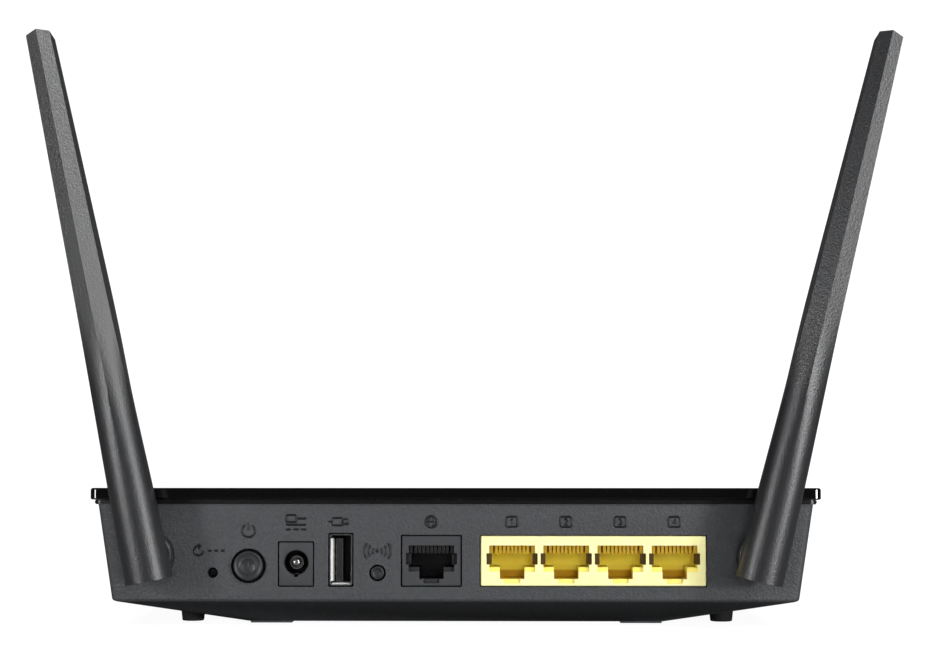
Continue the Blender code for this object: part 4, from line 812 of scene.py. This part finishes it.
# ================================================================ lid, its frame and the status lights
# The lid is a polished black plate of ABS, clipped into a thin matt black frame that closes the tub. Seven milky
# lenses come up through it near the front edge; they are all one clear moulding with the guide under them.
frame_black = moulded_plastic("frame_black", (0.003, 0.003, 0.0035), 0.34, 0.0006, 0.00001, worn=0.2)
dressed("top_frame", "lid_frame", "housing", frame_black, edge=0.0001)
low, high = corners("top_lid")
LID_SLOPE, LID_THICKNESS, SEAM_GAP, FRAME_PLATE = math.radians(1.8), 0.0030, 0.0003, 0.0006
FRAME_LESS_SIDE, FRAME_LESS_END, BEAD_WIDTH = 0.0010, 0.0006, 0.0060  # the frame's edge, inside the lid's
lid_length = (high.y - low.y) / math.cos(LID_SLOPE)
rear_edge_z = high.z - LID_THICKNESS * math.cos(LID_SLOPE)
bead_top, bead_foot = -0.00003, -(2 * SEAM_GAP + FRAME_PLATE) + 0.00003


def walls(builder, first, second):
    """Faces between two closed rings of points."""
    for i in range(len(first)):
        j = (i + 1) % len(first)
        builder.faces.new((first[i], first[j], second[j], second[i]))


bead = bmesh.new()
rings = []
for inset in (0.0, BEAD_WIDTH):
    width = high.x - low.x - 2 * (FRAME_LESS_SIDE + 0.0002 + inset)
    length = lid_length - 2 * (FRAME_LESS_END + 0.0002 + inset)
    outline = rounded_frame(0, lid_length / 2, width, length, 0.0018)[:-1]
    for z in (bead_foot, bead_top):
        rings.append([bead.verts.new((x, y, z)) for x, y in outline])
for a, b in ((0, 1), (1, 3), (3, 2), (2, 0)):
    walls(bead, rings[a], rings[b])
lid_place = Matrix.Translation((0, low.y, rear_edge_z)) @ Matrix.Rotation(-LID_SLOPE, 4, "X")
bmesh.ops.transform(bead, matrix=lid_place, verts=bead.verts)
piece_of("lid_frame_bead", mesh_from(bead, "bead", frame_black), "housing")

piano_black, tree, shader = finish("piano_black", coat=0.6, coat_roughness=0.03)
shine = use(tree, SMUDGES, {"Roughness": 0.06, "Smears": 0.05})
base = use(tree, COLOUR_DRIFT, {"Color": (0.0018, 0.0018, 0.0020, 1), "Clouds": 0.1, "Cloud Size": 0.05})
tree.links.new(base["Color"], shader.inputs["Base Color"])
tree.links.new(shine["Roughness"], shader.inputs["Roughness"])
bump(tree, shader, shine["Height"], 0.05, 0.00005)
dressed("top_lid", "gloss_lid", "housing", piano_black, edge=0.0002, segments=3)
lens_milk = moulded_plastic("lens_milk", (0.72, 0.75, 0.78), 0.28, 0.001, 0.000005, worn=0.0)
paint(lens_milk, "light_guide")

# ================================================================ antennas
# Each antenna is a hollow sleeve of grained dark grey plastic. Its foot is round and straddles an ear on the
# swivel; above it the section turns into facets with one sharp ridge to the rear, and it tapers to a sloping tip.
gloss = {"worn": 0.05, "speckle": 0.9, "specular": 1.0}
antenna_grey = moulded_plastic("antenna_grey", (0.0115, 0.0121, 0.0142), 0.39, 0.0005, 0.00009, **gloss)
FOLD_TO_FOOT, FOLD_TO_TIP, FOOT_HALF_WIDTH, TIP_HALF_WIDTH = 0.0061, 0.1383, 0.00615, 0.00355
FACETS_START, FACETS_END, FACET_RINGS, TIP_ANGLE = 0.0150, 0.0700, 30, math.radians(27)
REAR_SIDE, PANEL_SIDE = (-0.00499, -0.0036), (0.0071, 0.0027)  # at the foot and at the tip, from the fold axis
RIDGES = (  # round the sleeve: direction at the round foot, place when faceted, and points to the next
    (-90, (0.0, -1.0), 14), (-18, (0.87, -0.49), 10), (36, (1.0, 0.68), 6), (66, (0.60, 1.0), 10),
    (114, (-0.60, 1.0), 6), (144, (-1.0, 0.68), 10), (198, (-0.87, -0.49), 14),
)


def sleeve_rings():
    """Unit rings for the sleeve, closed at both ends, that carry their faceted places as an attribute."""
    made = bmesh.new()
    faceted = made.verts.layers.float_vector.new("facet_place")
    steps = range(FACET_RINGS + 1)
    heights = [FACETS_START + (FACETS_END - FACETS_START) * i / FACET_RINGS for i in steps]
    rings = []
    for height in [-FOLD_TO_FOOT, *heights, FOLD_TO_TIP]:
        rings.append([])
        for i, (angle, place, points) in enumerate(RIDGES):
            next_angle, next_place, _ = RIDGES[(i + 1) % len(RIDGES)]
            next_angle += 360 * (i + 1 == len(RIDGES))
            for k in range(points):
                a = math.radians(angle + (next_angle - angle) * k / points)
                vert = made.verts.new((math.cos(a), math.sin(a), height))
                vert[faceted] = Vector((*place, 0)).lerp(Vector((*next_place, 0)), k / points)
                rings[-1].append(vert)
    for lower, upper in zip(rings, rings[1:]):
        walls(made, lower, upper)
    made.faces.new(list(reversed(rings[0])))
    made.faces.new(rings[-1])
    return plain_mesh(made, "sleeve_rings")


def build_sleeve_tree():
    """A tapering sleeve from unit rings: round at the foot, faceted above, with a sloping tip."""
    sizes = ["Foot", "Tip", "Facets Start", "Facets End", "Tip Angle"]
    sizes += [f"{end} {what}" for end in ("Foot", "Tip") for what in ("Half Width", "Rear Side", "Panel Side")]
    sockets = [(size, "NodeSocketFloat") for size in sizes] + [("Material", "NodeSocketMaterial")]
    tree, given, out = geometry_tree("faceted_sleeve", sockets)
    position = put(tree, "GeometryNodeInputPosition").outputs["Position"]
    place = put(tree, "ShaderNodeSeparateXYZ", {"Vector": position}).outputs
    kept = put(tree, "GeometryNodeInputNamedAttribute", {"Name": "facet_place"}, data_type="FLOAT_VECTOR")
    facet = put(tree, "ShaderNodeSeparateXYZ", {"Vector": kept.outputs["Attribute"]}).outputs
    height = place["Z"]
    faceted = ramp(tree, height, given["Facets Start"], given["Facets End"], interpolation_type="SMOOTHSTEP")
    bottom = calc(tree, "MULTIPLY", given["Foot"], -1.0)

    def tapered(what):
        return ramp(tree, height, bottom, given["Tip"], given[f"Foot {what}"], given[f"Tip {what}"])

    def sharpened(axis):
        return calc(tree, "MULTIPLY_ADD", calc(tree, "SUBTRACT", facet[axis], place[axis]), faceted, place[axis])

    rear, panel_side = tapered("Rear Side"), tapered("Panel Side")
    middle_y = calc(tree, "MULTIPLY", calc(tree, "ADD", rear, panel_side), 0.5)
    half_depth = calc(tree, "MULTIPLY", calc(tree, "SUBTRACT", panel_side, rear), 0.5)
    x = calc(tree, "MULTIPLY", sharpened("X"), tapered("Half Width"))
    y = calc(tree, "MULTIPLY_ADD", sharpened("Y"), half_depth, middle_y)
    at_tip = calc(tree, "GREATER_THAN", height, calc(tree, "SUBTRACT", given["Tip"], 0.001))
    behind_ridge = calc(tree, "SUBTRACT", y, given["Tip Rear Side"])
    fall = calc(tree, "MULTIPLY", behind_ridge, calc(tree, "TANGENT", given["Tip Angle"]))
    z = calc(tree, "SUBTRACT", height, calc(tree, "MULTIPLY", fall, at_tip))
    moved = put(tree, "ShaderNodeCombineXYZ", {"X": x, "Y": y, "Z": z}).outputs["Vector"]
    shaped = put(tree, "GeometryNodeSetPosition", {"Geometry": given["Geometry"], "Position": moved})
    return close_tree(tree, shaped.outputs["Geometry"], given, out)


SLEEVE_TREE = build_sleeve_tree()
SLEEVE_SIZES = {
    "Foot": FOLD_TO_FOOT, "Tip": FOLD_TO_TIP, "Tip Angle": TIP_ANGLE, "Material": antenna_grey,
    "Facets Start": FACETS_START, "Facets End": FACETS_END,
    "Foot Half Width": FOOT_HALF_WIDTH, "Foot Rear Side": REAR_SIDE[0], "Foot Panel Side": PANEL_SIDE[0],
    "Tip Half Width": TIP_HALF_WIDTH, "Tip Rear Side": REAR_SIDE[1], "Tip Panel Side": PANEL_SIDE[1],
}
EAR_SLOT_HALF, EAR_SLOT_REACH, FOOT_SWING, PIN_BORE, PIN_BORE_HALF = 0.0027, 0.0038, 0.0074, 0.0013, 0.0049
STRIP_SLOT_HALF, STRIP_SLOT_DEPTH, STRIP_SLOT_START, STRIP_SLOT_END = 0.0018, 0.0007, 0.0110, 0.1270
STRIP_Y = 0.0002  # the copper strip's middle, from the fold axis
FEED_BORE, SLEEVE_EDGE = 0.0009, 0.0003
CUT_SIDE, CUT_DOWN = 0.0100, 0.0120  # how far the cutters reach past the foot


def turned_corner():
    """What the foot's corner beside the panel loses, so that it clears the panel when the antenna folds."""
    made = bmesh.new()
    turns = [math.radians(-4 * i) for i in range(21)]
    outline = [(FOOT_SWING * math.cos(a), FOOT_SWING * math.sin(a)) for a in turns]
    outline += [(0.0010, -CUT_DOWN), (CUT_DOWN, -CUT_DOWN), (CUT_DOWN, 0.0)]
    ends = [[made.verts.new((x, y, z)) for y, z in outline] for x in (-CUT_SIDE, CUT_SIDE)]
    walls(made, *ends)
    made.faces.new(ends[0])
    made.faces.new(list(reversed(ends[1])))
    return made


def box_cutter(low, high):
    made = bmesh.new()
    slab(made, low, high, 0.0001)
    return made


def bore_cutter(radius, length, along):
    """A round cutter: along X, with the fold axis in its middle, or up Z from the fold axis."""
    made = spun([(0, 0), (radius, 0), (radius, length), (0, length)], (0, 0, 0), 40)
    turn = Matrix.Rotation(-math.pi / 2, 3, "Z") if along == "X" else Matrix.Rotation(math.pi / 2, 3, "X")
    bmesh.ops.rotate(made, verts=made.verts, cent=(0, 0, 0), matrix=turn)
    if along == "X":
        bmesh.ops.translate(made, vec=(-length / 2, 0, 0), verts=made.verts)
    return made


strip_low = (-STRIP_SLOT_HALF, STRIP_Y - STRIP_SLOT_DEPTH, STRIP_SLOT_START)
strip_high = (STRIP_SLOT_HALF, STRIP_Y + STRIP_SLOT_DEPTH, STRIP_SLOT_END)
for side in ("left", "right"):
    knuckle, sleeve = f"{side}_swivel_knuckle", f"{side}_antenna_sleeve"
    dressed(knuckle, f"{side}_swivel_stem", f"{side}_swivel_body", antenna_grey, edge=0.0002)
    fold = next(joint for joint in frame["record"]["behaviour"]["joints"] if joint["name"] == f"{side}_fold")
    lean = math.atan2(-fold["axis"][2], fold["axis"][0])
    cutters = [
        box_cutter((-EAR_SLOT_HALF, -EAR_SLOT_REACH, -CUT_SIDE), (EAR_SLOT_HALF, CUT_SIDE, EAR_SLOT_REACH)),
        turned_corner(),
        bore_cutter(PIN_BORE, 2 * PIN_BORE_HALF, "X"),
        box_cutter(strip_low, strip_high),
        bore_cutter(FEED_BORE, STRIP_SLOT_START + 0.001, "Z"),
    ]
    blank = grown(SLEEVE_TREE, sleeve_rings(), SLEEVE_SIZES)
    mesh = carved(sleeve, blank, cutters, antenna_grey, 30, SLEEVE_EDGE)
    mesh.transform(Matrix.Translation(fold["pos_m"]) @ Matrix.Rotation(lean, 4, "Y"))
    piece_of(sleeve, mesh, f"{side}_antenna_body", [f"{side}_antenna"])

# ================================================================ floor, lights and camera
# The object stands on a seamless pale paper sweep under soft light: a low and a high panel from the right, a
# weak one from the left, one above, one behind, and two fills from the front that only lift the shadows.
FLOOR_REACH, WALL_DISTANCE, BEND, WALL_TOP, HALF_SPAN = 1.6, 1.1, 0.5, 2.2, 2.4
ROOM_GLOW, PAPER_TONE, PAPER_GLOW = 0.04, 0.14, 0.95
sweep = bmesh.new()
turns = [math.radians(7.5 * i) for i in range(1, 13)]
profile = [(-FLOOR_REACH, 0.0), (WALL_DISTANCE - BEND, 0.0)]
profile += [(WALL_DISTANCE - BEND + BEND * math.sin(a), BEND - BEND * math.cos(a)) for a in turns]
profile.append((WALL_DISTANCE, WALL_TOP))
rows = [[sweep.verts.new((x, y, z)) for x in (-HALF_SPAN, HALF_SPAN)] for y, z in profile]
for near, far in zip(rows, rows[1:]):
    sweep.faces.new((near[0], near[1], far[1], far[0]))
bmesh.ops.recalc_face_normals(sweep, faces=sweep.faces)
mesh = plain_mesh(sweep, "floor")
mesh.shade_smooth()
floor = in_scene("floor", mesh)
paper, tree, shader = finish("studio_paper", specular=0.1)
shader.inputs["Base Color"].default_value = (PAPER_TONE, PAPER_TONE, PAPER_TONE, 1)
shader.inputs["Emission Color"].default_value = (1, 1, 1, 1)
shader.inputs["Roughness"].default_value = 0.9
seen = put(tree, "ShaderNodeLightPath").outputs["Is Camera Ray"]
tree.links.new(calc(tree, "MULTIPLY", seen, PAPER_GLOW), shader.inputs["Emission Strength"])
mesh.materials.append(paper)
floor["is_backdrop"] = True

world = bpy.data.worlds.new("studio")
world.use_nodes = True
room = world.node_tree.nodes["Background"]
room.inputs["Color"].default_value = (1, 1, 1, 1)
seen = put(world.node_tree, "ShaderNodeLightPath").outputs["Is Camera Ray"]
dark = calc(world.node_tree, "MULTIPLY", calc(world.node_tree, "SUBTRACT", 1.0, seen), 1.0 - ROOM_GLOW)
world.node_tree.links.new(calc(world.node_tree, "SUBTRACT", 1.0, dark), room.inputs["Strength"])
bpy.context.scene.world = world


def panel_light(name, place, target, width, height, power, glossy=True):
    """A soft rectangular light that faces a point; it may be kept out of reflections."""
    lamp = bpy.data.lights.new(name, "AREA")
    lamp.shape = "RECTANGLE"
    lamp.size, lamp.size_y, lamp.energy = width, height, power
    made = in_scene(name, lamp)
    made.visible_camera, made.visible_glossy = False, glossy
    made.location = place
    made.rotation_euler = (Vector(target) - Vector(place)).to_track_quat("-Z", "Y").to_euler()


panel_middle, origin = (0.0, panel_y, 0.07), (0.0, 0.0, 0.0)
panel_light("right_softbox", (1.20, panel_y - 1.00, 0.08), panel_middle, 0.28, 0.14, 10)
panel_light("high_right_softbox", (1.10, panel_y - 0.90, 1.00), panel_middle, 0.34, 0.26, 12.5)
panel_light("left_softbox", (-0.46, panel_y - 0.40, 0.10), (-0.02, panel_y, 0.07), 0.10, 0.20, 1.25)
panel_light("front_fill", (0.22, panel_y - 1.5, 0.26), (0.0, panel_y, 0.02), 0.3, 0.3, 5.4, glossy=False)
panel_light("low_fill", (0.0, panel_y - 0.45, 0.012), (0.0, panel_y, 0.010), 0.7, 0.016, 0.95, glossy=False)
panel_light("top_light", (0.0, 0.1, 1.3), origin, 1.2, 0.9, 4)
panel_light("back_light", (0.0, 0.9, 1.1), origin, 1.4, 0.5, 12, glossy=False)

bpy.context.scene.view_settings.view_transform = "Standard"

lens = bpy.data.cameras.new("camera")
lens.lens, lens.sensor_width = 89.65, 36.0
lens.clip_start, lens.clip_end = 0.05, 20.0
camera = in_scene("camera", lens)
camera.location = (0.0147, panel_y - 0.600, 0.0456)
aim = Vector((0.0027, panel_y, 0.0776))
camera.rotation_euler = (aim - camera.location).to_track_quat("-Z", "Y").to_euler()
bpy.context.scene.camera = camera

low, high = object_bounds()
sizes = {"cad": [list(map(float, corner)) for corner in cad_box], "visual": [list(map(float, low)), list(map(float, high))]}
